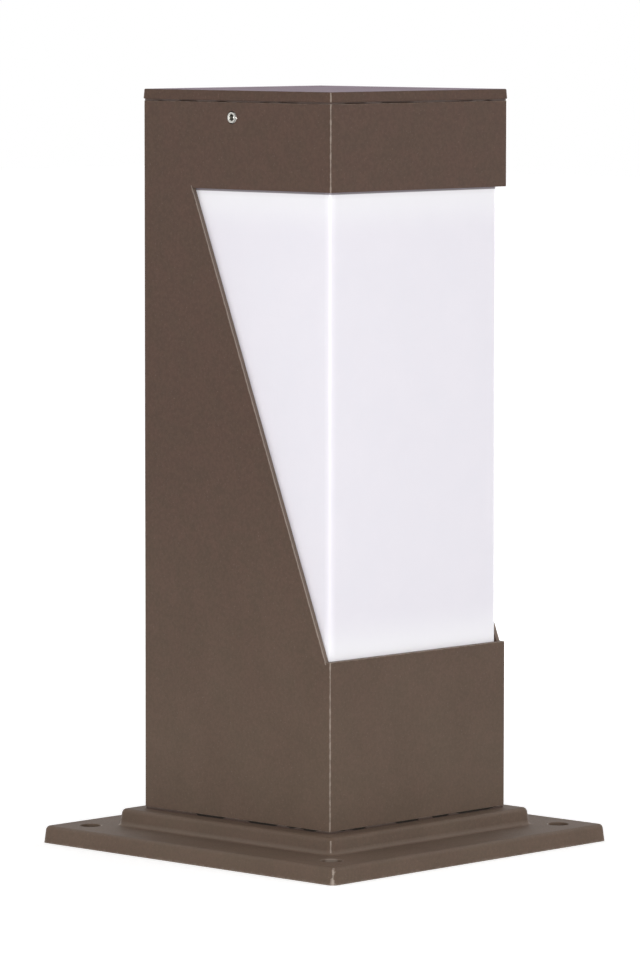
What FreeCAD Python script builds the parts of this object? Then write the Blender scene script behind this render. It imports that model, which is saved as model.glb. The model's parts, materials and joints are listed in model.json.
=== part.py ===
import FreeCAD, Part
import math
import os

# A square bollard light for paths and gardens, in millimetres. +Z is up and the origin is the centre of
# the footprint. The lit window faces -Y; the back wall, at +Y, is whole.

Vector = FreeCAD.Vector

# ---- overall and base casting -----------------------------------------------------------------------
overall_height = 300.0
plate_ledge = 21.1  # the plate beyond the step, where it meets the ground
plate_height = 6.8
plate_draft = 0.9  # how far each side leans in between the ground and the top
plate_corner = 2.0
plate_edge = 1.8
plate_rim = 5.0  # width of the rim that stands on the ground
plate_roof = 3.4
step_margin = 8.1  # the step beyond the column
step_height = 6.8
step_draft = 1.3
step_corner = 2.0
step_edge = 1.9
step_wall = 5.0
step_roof = 3.2
least_metal = 1.0  # left under a round-over
base_root_fillet = 1.6
rib_thickness = 3.0
rib_clear_of_entry = 17.0  # from the cable entry's centre to the ribs' inner ends

# ---- anchor holes in the plate ----------------------------------------------------------------------
anchor_inset = 14.0  # hole centres in from the plate's sides
anchor_hole_radius = 4.25
anchor_boss_radius = 8.5
anchor_edge = 0.4

# ---- column -----------------------------------------------------------------------------------------
column_side = 101.6
column_wall = 2.0
column_corner = 0.8
column_inner_corner = 0.4
column_edge = 0.25
window_sill = 66.0  # from the column's foot up to the sill
collar_height = 33.95  # whole band above the window
cut_foot_inset = 2.8  # the slanted cut's foot, behind the front face
cut_head_inset = 26.8  # the slanted cut's head, in front of the back face

# ---- foot gasket, cleats and pillars ----------------------------------------------------------------
foot_gasket_thickness = 0.8
foot_gasket_setback = 0.6
foot_gasket_opening = 52.0
cleat_leg = 18.0
cleat_thickness = 3.0
cleat_length = 80.0
pillar_from_wall = 10.8
pillar_from_cleat_end = 6.0
pillar_length = 50.0
pillar_across_flats = 9.0
pillar_bore_depth = 12.0
column_screw_radius = 2.5
column_screw_length = 16.0
column_screw_across_flats = 8.0
column_screw_head = 3.5
washer_radius = 5.0
washer_thickness = 1.0

# ---- gear tray --------------------------------------------------------------------------------------
tray_thickness = 1.5
tray_flange = 8.0
tray_corner = 2.0
tray_gap = 0.5  # between the tray's edge and the column's wall
tray_wire_hole_radius = 14.0
tray_screw_radius = 2.0
tray_screw_length = 8.0
pan_head_radius = 3.8
pan_head_height = 2.6
pan_head_socket = 3.0
grommet_setback = 19.55  # between the diffuser and the grommet's centre
grommet_y = -24.0
grommet_hole_radius = 6.0
grommet_bore_radius = 4.5
grommet_lip = 1.6
grommet_lip_height = 2.0

# ---- diffuser and its seals -------------------------------------------------------------------------
diffuser_wall = 3.0
diffuser_corner = 3.2
least_corner = 0.5  # inside a corner that is tighter than its wall
seal_thickness = 1.5

# ---- top cap ----------------------------------------------------------------------------------------
cap_plate = 3.9
cap_overhang = 0.4  # beyond the column at the plate's lower edge
cap_draft = 0.35
cap_corner = 1.0
cap_top_edge = 0.5
cap_bottom_edge = 0.3
cap_joint = 0.65  # shadow joint between cap and column
cap_joint_depth = 1.0
skirt_depth = 12.0
skirt_wall = 6.0
skirt_corner = 1.4
skirt_inner_corner = 2.0
skirt_lead_in = 0.8
cap_screw_drop = 6.0  # screw centre below the column's top
cap_screw_y = 2.2
cap_screw_radius = 2.5
cap_screw_length = 5.0
cap_screw_proud = 0.25
cap_screw_socket = 2.5  # across flats
cap_screw_socket_depth = 2.4
cap_screw_edge = 0.35

# ---- lampholder -------------------------------------------------------------------------------------
holder_radius = 20.0
holder_edge = 1.5
holder_foot_radius = 22.0
holder_foot_height = 6.0
holder_ear_x = 27.0
holder_ear_radius = 7.0
holder_cavity_radius = 16.0
holder_cavity_height = 18.0
holder_floor = 4.0
holder_notch_width = 24.0
holder_notch_height = 8.0
holder_screw_radius = 2.0
holder_screw_length = 12.0
nut_across_flats = 7.0
nut_height = 3.2
sleeve_wall = 0.5
sleeve_setback = 2.0  # the sleeve's rim below the lampholder's
sleeve_flange = 4.5
contact_strip = 0.6
contact_width = 7.0
contact_back = 4.0  # the strip's heel, on the far side of the axis
contact_post_x = 6.0
sleeve_post_x = -11.5
post_radius = 3.0
post_length = 6.5
post_pin_radius = 1.5
post_bore_roof = 1.0  # metal above the wire's bore

# ---- lamp, a screw-in LED lamp with a 27 mm cap -----------------------------------------------------
thread_pitch = 3.629
thread_crest_radius = 13.2
thread_root_radius = 12.3
thread_turns = 5
lamp_cap_inner_radius = 11.4
lamp_seat_height = 4.6  # the lamp's tip above the lampholder's floor
lamp_rim_gap = 0.6  # between the lampholder's rim and the lamp's housing
lamp_tip_radius = 4.6
lamp_tip_height = 1.3
lamp_tip_stem_radius = 1.2
insulator_lip = 0.6  # beyond the tip, at its foot
insulator_height = 4.4
lamp_collar_height = 2.6
lamp_neck_radius = 14.2
lamp_shoulder = 1.36  # width of the housing's rim outside the globe
lamp_housing_height = 40.0
lamp_housing_wall = 3.2  # at the waist
housing_waist = 18.0  # above the housing's foot
housing_waist_radius = 20.7
globe_radius = 30.0
globe_rise = 13.0  # the globe's centre above the housing's rim
globe_wall = 1.2
led_board_inset = 3.9  # the board's edge inside the housing's outer rim
led_board_thickness = 1.6
led_board_drop = 3.0  # the board's top below the housing's rim
led_count = 10
led_ring_radius = 17.0
led_side = 3.5
led_thickness = 0.8
driver_width = 18.0
driver_thickness = 1.2
driver_length = 34.0

# ---- terminal block, wires and earth ----------------------------------------------------------------
block_length = 30.0
block_depth = 14.0
block_height = 13.0
block_edge = 0.8
pole_pitch = 9.0
pole_screw_spread = 7.0
wire_level = 4.6  # wire centres above the tray
wire_radius = 1.1
wire_end_gap = 0.5  # between a wire's end and the bore's
wire_lift = 0.6  # how much a wire rises before it turns up into its post
wire_turn_share = 0.75  # where it turns, as a share of the cavity's radius
contact_tube_radius = 2.4
contact_tube_bore = 1.4
clamp_screw_radius = 1.1
clamp_head_radius = 1.7
clamp_head_height = 1.6
clamp_socket = 1.3
block_tube_inset = 1.0  # the brass tubes' ends, inside the block
block_screw_radius = 1.25
block_screw_grip = 3.0  # how far a screw reaches below the tray's top
block_screw_head_radius = 2.3
block_screw_socket = 1.6
earth_x = 28.0
earth_y = -22.0
lug_radius = 4.0
lug_thickness = 0.8
lug_wall = 0.6
lug_barrel = 5.0
lug_wire_start = 1.0  # the wire's end, inside the barrel
lug_wire_run = 7.5  # straight run out of the lug
earth_wire_aim = 3.0  # where the lug points, beside the third pole
earth_wire_exit = 1.2  # straight run out of the block

# ---- cable gland in the base ------------------------------------------------------------------------
gland_thread_radius = 7.9
gland_tail = 7.4  # threaded tail below the casting's roof
gland_bore_radius = 5.6
gland_across_flats = 22.0
gland_flange = 4.4
gland_neck_radius = 9.2
gland_neck = 8.0
gland_nut_height = 12.0
gland_nut_shoulder = 2.4
gland_seal_outer_radius = 7.2
gland_seal_bore_radius = 4.6
gland_seal_length = 8.0
locknut_height = 4.0

# ---- clearances -------------------------------------------------------------------------------------
sliding_gap = 0.25  # diffuser in column
skirt_gap = 0.4  # cap skirt in column
rest_gap = 0.25  # between a part that lifts off and its seat
thread_fit = 0.05  # radial, round every screw in its tapped hole
screw_clearance = 0.25  # radial, round every screw in a plain hole
socket_gap = 0.25  # lamp's thread in the lampholder's sleeve
running_fit = 0.05
cut_over = 1.0  # how far a cutting tool passes a face

# ---- levels and half widths that follow from the sizes above ----------------------------------------
step_side = column_side + 2 * step_margin
plate_side = step_side + 2 * plate_ledge
anchor_half_spacing = plate_side / 2 - anchor_inset
base_top = plate_height + step_height
casting_roof = base_top - step_roof
column_foot = base_top + foot_gasket_thickness
column_half = column_side / 2
column_inner_half = column_half - column_wall
cap_underside = overall_height - cap_plate
column_top = cap_underside - cap_joint
sill_level = column_foot + window_sill
lintel_level = column_top - collar_height
cleat_top = column_foot + cleat_thickness
pillar_x = column_inner_half - pillar_from_wall
pillar_y = cleat_length / 2 - pillar_from_cleat_end
tray_underside = cleat_top + pillar_length
tray_top = tray_underside + tray_thickness
tray_half = column_inner_half - tray_gap
diffuser_half = column_inner_half - sliding_gap
diffuser_inner_half = diffuser_half - diffuser_wall
diffuser_inner_corner = max(diffuser_corner - diffuser_wall, least_corner)
grommet_x = -(diffuser_inner_half - grommet_setback)
diffuser_bottom = tray_top + seal_thickness
skirt_bottom = cap_underside - skirt_depth
diffuser_top = skirt_bottom - seal_thickness - rest_gap
skirt_half = column_inner_half - skirt_gap
cap_screw_level = column_top - cap_screw_drop
cap_screw_tip = column_half + cap_screw_proud - cap_screw_length
holder_floor_top = tray_top + holder_cavity_height + holder_floor
sleeve_inner_radius = thread_crest_radius + socket_gap
sleeve_outer_radius = sleeve_inner_radius + sleeve_wall
lamp_tip_level = holder_floor_top + lamp_seat_height
insulator_level = lamp_tip_level + lamp_tip_height + running_fit
thread_level = insulator_level + insulator_height
thread_end = thread_level + thread_turns * thread_pitch
housing_level = thread_end + lamp_collar_height
housing_rim = housing_level + lamp_housing_height
holder_top = housing_level - lamp_rim_gap
sleeve_top = holder_top - sleeve_setback
globe_rim_radius = math.sqrt(globe_radius ** 2 - globe_rise ** 2)
lamp_shoulder_radius = globe_rim_radius + lamp_shoulder
led_board_radius = lamp_shoulder_radius - led_board_inset
wire_height = tray_top + wire_level
block_y = -(diffuser_inner_half + holder_foot_radius) / 2
block_front = block_y + block_depth / 2
gland_seat = base_top + gland_flange
gland_neck_top = gland_seat + gland_neck


# ---- shared shapes ----------------------------------------------------------------------------------
def rounded_rectangle(width, depth, radius, level, x=0.0, y=0.0):
    """Closed wire of a level rectangle with rounded corners, centred on x, y."""
    half_x = width / 2
    half_y = depth / 2
    edges = []
    turns = [(1, 1), (-1, 1), (-1, -1), (1, -1)]
    starts = []
    for number, (sign_x, sign_y) in enumerate(turns):
        centre = Vector(x + sign_x * (half_x - radius), y + sign_y * (half_y - radius), level)
        corner = []
        for share in (0, 1, 2):
            angle = math.radians(90 * number + 45 * share)
            corner.append(centre + Vector(radius * math.cos(angle), radius * math.sin(angle), 0))
        starts.append(corner)
    for corner, following in zip(starts, starts[1:] + starts[:1]):
        edges.append(Part.Arc(*corner).toShape())
        edges.append(Part.LineSegment(corner[2], following[0]).toShape())
    return Part.Wire(edges)


def square(side, radius, level):
    """Closed wire of a level square with rounded corners, centred on the axis."""
    return rounded_rectangle(side, side, radius, level)


def prism(outline, height):
    """Solid that rises from a level outline."""
    return Part.Face(outline).extrude(Vector(0, 0, height))


def square_ring(outer_half, inner_half, bottom, top, outer_radius=1.0, inner_radius=1.0):
    """Flat or tall ring between two squares."""
    outer = prism(square(2 * outer_half, outer_radius, bottom), top - bottom)
    inner = prism(square(2 * inner_half, inner_radius, bottom - cut_over), top - bottom + 2 * cut_over)
    return outer.cut(inner)


def drafted_block(side, draft, corner, bottom, top):
    """Square block whose sides lean in by the draft between its bottom and its top."""
    lower = square(side, corner + draft, bottom)
    upper = square(side - 2 * draft, corner, top)
    return Part.makeLoft([lower, upper], True, True)


def cylinder(radius, bottom, top, x=0.0, y=0.0):
    """Upright cylinder between two levels."""
    return Part.makeCylinder(radius, top - bottom, Vector(x, y, bottom))


def bore(radius, bottom, top, x=0.0, y=0.0):
    """Tool for an upright hole right through whatever lies between two levels."""
    return cylinder(radius, bottom - cut_over, top + cut_over, x, y)


def hexagon(across_flats, bottom, top, x=0.0, y=0.0):
    """Upright hexagonal bar between two levels."""
    radius = across_flats / math.sqrt(3)
    points = []
    for side in range(7):
        angle = math.radians(60 * side)
        points.append(Vector(x + radius * math.cos(angle), y + radius * math.sin(angle), bottom))
    return prism(Part.makePolygon(points), top - bottom)


def box(low, high):
    """Box between two corners."""
    size = [b - a for a, b in zip(low, high)]
    return Part.makeBox(*size, Vector(*low))


def turned(edges):
    """Solid of revolution about the Z axis from edges of a closed profile in the XZ plane."""
    return Part.Face(Part.Wire(edges)).revolve(Vector(0, 0, 0), Vector(0, 0, 1), 360)


def line(start, end):
    """Straight edge in the XZ plane, from (radius, level) to (radius, level)."""
    return Part.LineSegment(Vector(start[0], 0, start[1]), Vector(end[0], 0, end[1])).toShape()


def arc(start, middle, end):
    """Round edge in the XZ plane through three (radius, level) points."""
    points = [Vector(point[0], 0, point[1]) for point in (start, middle, end)]
    return Part.Arc(*points).toShape()


def turned_profile(points):
    """Solid of revolution from a closed list of (radius, level) corners."""
    edges = []
    for start, end in zip(points, points[1:] + points[:1]):
        edges.append(line(start, end))
    return turned(edges)


def moved(shape, x, y, z):
    """Copy of a shape, shifted."""
    copy = shape.copy()
    copy.translate(Vector(x, y, z))
    return copy


def at_places(shape, places, level=0.0):
    """Separate copies of a shape at x, y places."""
    return Part.makeCompound([moved(shape, x, y, level) for x, y in places])


def four_places(x, y):
    """The four mirror images of a place."""
    return [(x, y), (-x, y), (-x, -y), (x, -y)]


def cut_all(shape, tools):
    """A shape less each tool."""
    for tool in tools:
        shape = shape.cut(tool)
    return shape


def round_edges(shape, radius, chosen):
    """Fillet the edges for which chosen(edge) is true."""
    edges = [edge for edge in shape.Edges if chosen(edge)]
    return shape.makeFillet(radius, edges)


def is_level(edge, level):
    """Whether an edge lies in the level plane at the given height."""
    bounds = edge.BoundBox
    return abs(bounds.ZMin - level) < 0.001 and abs(bounds.ZMax - level) < 0.001


def reach(edge):
    """How far an edge's nearest stretch is from the Z axis, as a half width."""
    centre = edge.valueAt((edge.FirstParameter + edge.LastParameter) / 2)
    return max(abs(centre.x), abs(centre.y))


def machine_screw(radius, length, head_radius, head_height, socket):
    """Pan head screw, head up, with its shank hanging below level 0 and a hexagon socket."""
    dome = 0.35 * head_height
    head = [
        line((0, 0), (head_radius, 0)),
        line((head_radius, 0), (head_radius, head_height - dome)),
        arc(
            (head_radius, head_height - dome),
            (0.8 * head_radius, head_height - 0.4 * dome),
            (0.5 * head_radius, head_height),
        ),
        line((0.5 * head_radius, head_height), (0, head_height)),
        line((0, head_height), (0, 0)),
    ]
    shank = cylinder(radius, -length, 0)
    recess = hexagon(socket, 0.4 * head_height, head_height + cut_over)
    return turned(head).fuse(shank).cut(recess).removeSplitter()


def pan_screw(radius, length):
    """Machine screw with the pan head that the tray's and the lampholder's screws share."""
    return machine_screw(radius, length, pan_head_radius, pan_head_height, pan_head_socket)


def bent_wire(points, radius):
    """Round wire along straight runs joined by tangent arcs, each as large as its two runs allow."""
    points = [Vector(*point) for point in points]
    edges = []
    start = points[0]
    for before, corner, after in zip(points, points[1:], points[2:]):
        towards = (before - corner).normalize()
        away = (after - corner).normalize()
        setback = 0.45 * min((before - corner).Length, (after - corner).Length)
        half_angle = towards.getAngle(away) / 2
        bend = setback * math.tan(half_angle)
        inward = (towards + away).normalize()
        arc_start = corner + towards * setback
        arc_end = corner + away * setback
        arc_middle = corner + inward * (math.hypot(setback, bend) - bend)
        edges.append(Part.LineSegment(start, arc_start).toShape())
        edges.append(Part.Arc(arc_start, arc_middle, arc_end).toShape())
        start = arc_end
    edges.append(Part.LineSegment(start, points[-1]).toShape())
    section = Part.Wire([Part.makeCircle(radius, points[0], points[1] - points[0])])
    return Part.Wire(edges).makePipeShell([section], True, False)


# ---- base -------------------------------------------------------------------------------------------
def anchor_places():
    return four_places(anchor_half_spacing, anchor_half_spacing)


def pillar_places():
    return four_places(pillar_x, pillar_y)


def base_casting():
    """Stepped pedestal, cast hollow, with ribs and bosses underneath."""
    plate = drafted_block(plate_side, plate_draft, plate_corner, 0, plate_height)
    plate_round = min(plate_edge, plate_roof - least_metal)
    plate = round_edges(plate, plate_round, lambda edge: is_level(edge, plate_height))
    step = drafted_block(step_side, step_draft, step_corner, plate_height - cut_over, base_top)
    step_round = min(step_edge, step_roof - least_metal)
    step = round_edges(step, step_round, lambda edge: is_level(edge, base_top))
    casting = plate.fuse(step).removeSplitter()
    casting = round_edges(
        casting,
        base_root_fillet,
        lambda edge: is_level(edge, plate_height) and reach(edge) < step_side / 2 + cut_over,
    )
    plate_pocket = prism(
        square(plate_side - 2 * plate_rim, plate_corner, -cut_over),
        plate_height - plate_roof + cut_over,
    )
    step_pocket = prism(square(step_side - 2 * step_wall, step_corner, -cut_over), casting_roof + cut_over)
    bosses = [cylinder(anchor_boss_radius, -cut_over, plate_height, x, y) for x, y in anchor_places()]
    plate_pocket = cut_all(plate_pocket, bosses)
    hollow = plate_pocket.fuse(step_pocket)
    rib_end = plate_side / 2
    for turn in range(4):
        rib = box(
            (rib_clear_of_entry, -rib_thickness / 2, -cut_over),
            (rib_end, rib_thickness / 2, casting_roof),
        )
        rib.rotate(Vector(0, 0, 0), Vector(0, 0, 1), 90 * turn)
        hollow = hollow.cut(rib)
    casting = casting.cut(hollow)
    for x, y in anchor_places():
        casting = casting.cut(bore(anchor_hole_radius, 0, plate_height, x, y))
    for x, y in pillar_places():
        casting = casting.cut(bore(column_screw_radius + screw_clearance, 0, base_top, x, y))
    casting = casting.cut(bore(gland_thread_radius + screw_clearance, 0, base_top))
    return round_edges(
        casting,
        anchor_edge,
        lambda edge: is_level(edge, plate_height)
        and edge.Curve.TypeId == "Part::GeomCircle"
        and abs(edge.Curve.Radius - anchor_hole_radius) < 0.001,
    )


def foot_gasket():
    """Flat rubber gasket between the casting and the column."""
    gasket = square_ring(
        column_half - foot_gasket_setback,
        foot_gasket_opening / 2,
        base_top,
        column_foot,
    )
    hole_radius = column_screw_radius + screw_clearance
    holes = [bore(hole_radius, base_top, column_foot, x, y) for x, y in pillar_places()]
    return cut_all(gasket, holes)


def window_cutter():
    """Front wall between sill and lintel, with the slanted cut through both side walls."""
    front = -column_half - cut_over
    outline = [
        (front, sill_level),
        (-column_half + cut_foot_inset, sill_level),
        (column_half - cut_head_inset, lintel_level),
        (front, lintel_level),
    ]
    side = -column_half - cut_over
    points = [Vector(side, y, z) for y, z in outline]
    face = Part.Face(Part.makePolygon(points + points[:1]))
    return face.extrude(Vector(2 * (column_half + cut_over), 0, 0))


def is_rim_of_column(edge):
    """Whether an edge is on the tube's outside and belongs to its foot, its head or its window."""
    if edge.Curve.TypeId == "Part::GeomLine" and abs(edge.tangentAt(edge.FirstParameter).z) > 0.999:
        return False
    middle = edge.valueAt((edge.FirstParameter + edge.LastParameter) / 2)
    return max(abs(middle.x), abs(middle.y)) > column_half - column_corner


def column_shell():
    """Square tube with the window cut out of its front and both sides."""
    shell = square_ring(
        column_half,
        column_inner_half,
        column_foot,
        column_top,
        column_corner,
        column_inner_corner,
    )
    shell = shell.cut(window_cutter())
    shell = round_edges(shell, column_edge, is_rim_of_column)
    screw_hole = Part.makeCylinder(
        cap_screw_radius + thread_fit,
        2 * (column_half + cut_over),
        Vector(-column_half - cut_over, cap_screw_y, cap_screw_level),
        Vector(1, 0, 0),
    )
    return shell.cut(screw_hole)


def foot_cleats():
    """Two angle cleats, welded inside the column's side walls."""
    cleats = []
    for side in (-1, 1):
        wall_x = side * column_inner_half
        upright = box(
            (min(wall_x, wall_x - side * cleat_thickness), -cleat_length / 2, column_foot),
            (max(wall_x, wall_x - side * cleat_thickness), cleat_length / 2, column_foot + cleat_leg),
        )
        leg = box(
            (min(wall_x, wall_x - side * cleat_leg), -cleat_length / 2, column_foot),
            (max(wall_x, wall_x - side * cleat_leg), cleat_length / 2, cleat_top),
        )
        hole_radius = column_screw_radius + screw_clearance
        holes = [bore(hole_radius, column_foot, cleat_top, x, y) for x, y in pillar_places()]
        cleats.append(cut_all(upright.fuse(leg), holes).removeSplitter())
    return Part.makeCompound(cleats)


def column_washers():
    """Plain washers under the heads of the column screws."""
    washer = cylinder(washer_radius, casting_roof - washer_thickness, casting_roof)
    washer = washer.cut(bore(column_screw_radius + screw_clearance, 0, casting_roof))
    return at_places(washer, pillar_places())


def column_screws():
    """Hexagon head screws, driven up from under the casting through the cleats into the pillars."""
    head_top = casting_roof - washer_thickness
    head = hexagon(column_screw_across_flats, head_top - column_screw_head, head_top)
    shank = cylinder(column_screw_radius, head_top, head_top + column_screw_length)
    return at_places(head.fuse(shank).removeSplitter(), pillar_places())


def tray_pillars():
    """Hexagon pillars that clamp the cleats down and carry the gear tray."""
    pillar = hexagon(pillar_across_flats, cleat_top, tray_underside)
    lower_end = cleat_top + pillar_bore_depth
    upper_end = tray_underside - pillar_bore_depth
    lower_bore = cylinder(column_screw_radius + thread_fit, cleat_top - cut_over, lower_end)
    upper_bore = cylinder(tray_screw_radius + thread_fit, upper_end, tray_underside + cut_over)
    return at_places(cut_all(pillar, [lower_bore, upper_bore]), pillar_places())


# ---- cable gland ------------------------------------------------------------------------------------
def gland_body():
    """Threaded gland body with its flange on the casting and its tail below."""
    body = cylinder(gland_thread_radius, casting_roof - gland_tail, base_top)
    body = body.fuse(hexagon(gland_across_flats, base_top, gland_seat))
    body = body.fuse(cylinder(gland_neck_radius, gland_seat, gland_neck_top)).removeSplitter()
    cable_way = bore(gland_bore_radius, casting_roof - gland_tail, gland_neck_top)
    seal_seat = cylinder(
        gland_seal_outer_radius + running_fit,
        gland_neck_top - gland_seal_length + running_fit,
        gland_neck_top + cut_over,
    )
    return cut_all(body, [cable_way, seal_seat])


def gland_seal():
    """Rubber sleeve that grips the supply cable."""
    bottom = gland_neck_top - gland_seal_length + running_fit
    top = bottom + gland_seal_length
    ring = cylinder(gland_seal_outer_radius, bottom, top)
    return ring.cut(bore(gland_seal_bore_radius, bottom, top))


def gland_nut():
    """Domed nut that closes the seal on the cable."""
    bottom = gland_seat + rest_gap
    top = bottom + gland_nut_height
    hexagon_top = top - gland_nut_shoulder
    nut = hexagon(gland_across_flats, bottom, hexagon_top)
    crown = Part.makeCone(
        gland_across_flats / 2,
        gland_across_flats / 2 - gland_nut_shoulder,
        gland_nut_shoulder,
        Vector(0, 0, hexagon_top),
    )
    nut = nut.fuse(crown)
    thread = cylinder(gland_neck_radius + thread_fit, bottom - cut_over, gland_neck_top + 2 * running_fit)
    mouth = cylinder(gland_bore_radius, bottom, top + cut_over)
    return cut_all(nut, [thread, mouth])


def gland_locknut():
    """Locknut under the casting's roof."""
    nut = hexagon(gland_across_flats, casting_roof - locknut_height, casting_roof)
    return nut.cut(cylinder(gland_thread_radius + thread_fit, 0, base_top))


# ---- gear tray --------------------------------------------------------------------------------------
def gear_tray():
    """Folded sheet tray that carries the lampholder, the terminals and the diffuser."""
    tray = prism(
        square(2 * tray_half, tray_corner, tray_top - tray_flange),
        tray_flange,
    )
    inside = prism(
        square(2 * (tray_half - tray_thickness), tray_corner, tray_top - tray_flange - cut_over),
        tray_flange - tray_thickness + cut_over,
    )
    tray = tray.cut(inside)
    holes = [(0, 0, tray_wire_hole_radius), (grommet_x, grommet_y, grommet_hole_radius)]
    holes += [(x, y, tray_screw_radius + screw_clearance) for x, y in pillar_places()]
    holes += [(x, y, holder_screw_radius + screw_clearance) for x, y in holder_screw_places()]
    holes += [(x, y, block_screw_radius + thread_fit) for x, y in block_screw_places()]
    holes.append((earth_x, earth_y, block_screw_radius + thread_fit))
    for x, y, radius in holes:
        tray = tray.cut(bore(radius, tray_underside, tray_top, x, y))
    return tray


def tray_screws():
    """Screws that hold the tray on its pillars."""
    screw = pan_screw(tray_screw_radius, tray_screw_length)
    return at_places(screw, pillar_places(), tray_top)


def tray_grommet():
    """Rubber grommet where the supply wires pass the tray."""
    lip_radius = grommet_hole_radius + grommet_lip
    waist_radius = grommet_hole_radius - running_fit
    grommet = turned_profile(
        [
            (grommet_bore_radius, tray_underside - grommet_lip_height),
            (lip_radius, tray_underside - grommet_lip_height),
            (lip_radius, tray_underside),
            (waist_radius, tray_underside),
            (waist_radius, tray_top),
            (lip_radius, tray_top),
            (lip_radius, tray_top + grommet_lip_height),
            (grommet_bore_radius, tray_top + grommet_lip_height),
        ]
    )
    return moved(grommet, grommet_x, grommet_y, 0)


# ---- lampholder -------------------------------------------------------------------------------------
def holder_screw_places():
    return [(-holder_ear_x, 0), (holder_ear_x, 0)]


def lampholder_body():
    """Glazed porcelain lampholder: foot with two ears, wiring cavity below, screw socket above."""
    body = cylinder(holder_radius, tray_top, holder_top)
    body = round_edges(body, holder_edge, lambda edge: is_level(edge, holder_top))
    body = body.fuse(cylinder(holder_foot_radius, tray_top, tray_top + holder_foot_height))
    foot_top = tray_top + holder_foot_height
    ears = box((-holder_ear_x, -holder_ear_radius, tray_top), (holder_ear_x, holder_ear_radius, foot_top))
    body = body.fuse(ears)
    for x, y in holder_screw_places():
        body = body.fuse(cylinder(holder_ear_radius, tray_top, foot_top, x, y))
    body = body.removeSplitter()
    cavity_top = tray_top + holder_cavity_height
    tools = [
        cylinder(holder_cavity_radius, tray_top - cut_over, cavity_top),
        cylinder(sleeve_outer_radius + running_fit, holder_floor_top, holder_top + cut_over),
        box(
            (-holder_notch_width / 2, -holder_foot_radius - cut_over, tray_top - cut_over),
            (holder_notch_width / 2, 0, tray_top + holder_notch_height),
        ),
    ]
    for x, y in holder_screw_places():
        tools.append(bore(holder_screw_radius + screw_clearance, tray_top, foot_top, x, y))
    for x in (contact_post_x, sleeve_post_x):
        tools.append(bore(post_pin_radius + running_fit, cavity_top, holder_floor_top, x))
    return cut_all(body, tools)


def lampholder_sleeve():
    """Pressed metal sleeve that lines the socket, with a flange on the socket's floor."""
    sleeve = cylinder(sleeve_outer_radius, holder_floor_top, sleeve_top)
    socket = cylinder(sleeve_inner_radius, holder_floor_top + sleeve_wall, sleeve_top + cut_over)
    opening = bore(sleeve_outer_radius - sleeve_flange, holder_floor_top, holder_floor_top)
    return cut_all(sleeve, [socket, opening])


def lampholder_contact():
    """Springy centre contact: a flat heel with a tongue that rises to the lamp's tip."""
    heel = holder_floor_top
    crest = lamp_tip_level - rest_gap
    outline = [
        (contact_post_x + post_pin_radius, heel),
        (contact_post_x + post_pin_radius, heel + contact_strip),
        (-contact_back + contact_strip, heel + contact_strip),
        (-contact_back + contact_strip, crest - contact_strip),
        (contact_back, crest - contact_strip),
        (contact_back, crest),
        (-contact_back, crest),
        (-contact_back, heel),
    ]
    points = [Vector(x, -contact_width / 2, z) for x, z in outline]
    return Part.Face(Part.makePolygon(points + points[:1])).extrude(Vector(0, contact_width, 0))


def lampholder_posts():
    """Two brass terminal posts, riveted through the socket's floor."""
    post_top = tray_top + holder_cavity_height
    posts = []
    for x in (contact_post_x, sleeve_post_x):
        post = cylinder(post_radius, post_top - post_length, post_top, x)
        post = post.fuse(cylinder(post_pin_radius, post_top, holder_floor_top, x)).removeSplitter()
        wire_hole_bottom = post_top - post_length - cut_over
        wire_hole = cylinder(wire_radius + running_fit, wire_hole_bottom, post_top - post_bore_roof, x)
        posts.append(post.cut(wire_hole))
    return Part.makeCompound(posts)


def lampholder_screws():
    """Screws through the lampholder's ears and the tray."""
    screw = pan_screw(holder_screw_radius, holder_screw_length)
    return at_places(screw, holder_screw_places(), tray_top + holder_foot_height)


def lampholder_nuts():
    """Nuts under the tray for the lampholder's screws."""
    nut = hexagon(nut_across_flats, tray_underside - nut_height, tray_underside)
    nut = nut.cut(cylinder(holder_screw_radius + thread_fit, 0, tray_top))
    return at_places(nut, holder_screw_places())


# ---- lamp -------------------------------------------------------------------------------------------
def lamp_tip():
    """The lamp's centre contact: a domed button with a stem."""
    bottom = lamp_tip_level
    top = bottom + lamp_tip_height
    stem_top = insulator_level + insulator_height
    return turned(
        [
            arc(
                (0, bottom),
                (0.6 * lamp_tip_radius, bottom + 0.2 * lamp_tip_height),
                (lamp_tip_radius, top),
            ),
            line((lamp_tip_radius, top), (lamp_tip_stem_radius, top)),
            line((lamp_tip_stem_radius, top), (lamp_tip_stem_radius, stem_top)),
            line((lamp_tip_stem_radius, stem_top), (0, stem_top)),
            line((0, stem_top), (0, bottom)),
        ]
    )


def lamp_insulator():
    """Dark glass ring between the tip and the screw cap."""
    bore = lamp_tip_stem_radius + running_fit
    top = insulator_level + insulator_height
    return turned_profile(
        [
            (bore, insulator_level),
            (lamp_tip_radius + insulator_lip, insulator_level),
            (lamp_cap_inner_radius, top),
            (bore, top),
        ]
    )


def lamp_screw_cap():
    """Screw cap with its rounded thread, drawn as rings of the thread's pitch, and a plain collar."""
    edges = [line((lamp_cap_inner_radius, thread_level), (thread_root_radius, thread_level))]
    for turn in range(thread_turns):
        level = thread_level + turn * thread_pitch
        edges.append(
            arc(
                (thread_root_radius, level),
                (thread_crest_radius, level + thread_pitch / 2),
                (thread_root_radius, level + thread_pitch),
            )
        )
    collar_top = housing_level
    edges.append(line((thread_root_radius, thread_end), (thread_crest_radius, collar_top)))
    edges.append(line((thread_crest_radius, collar_top), (lamp_cap_inner_radius, collar_top)))
    edges.append(line((lamp_cap_inner_radius, collar_top), (lamp_cap_inner_radius, thread_level)))
    return turned(edges)


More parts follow.
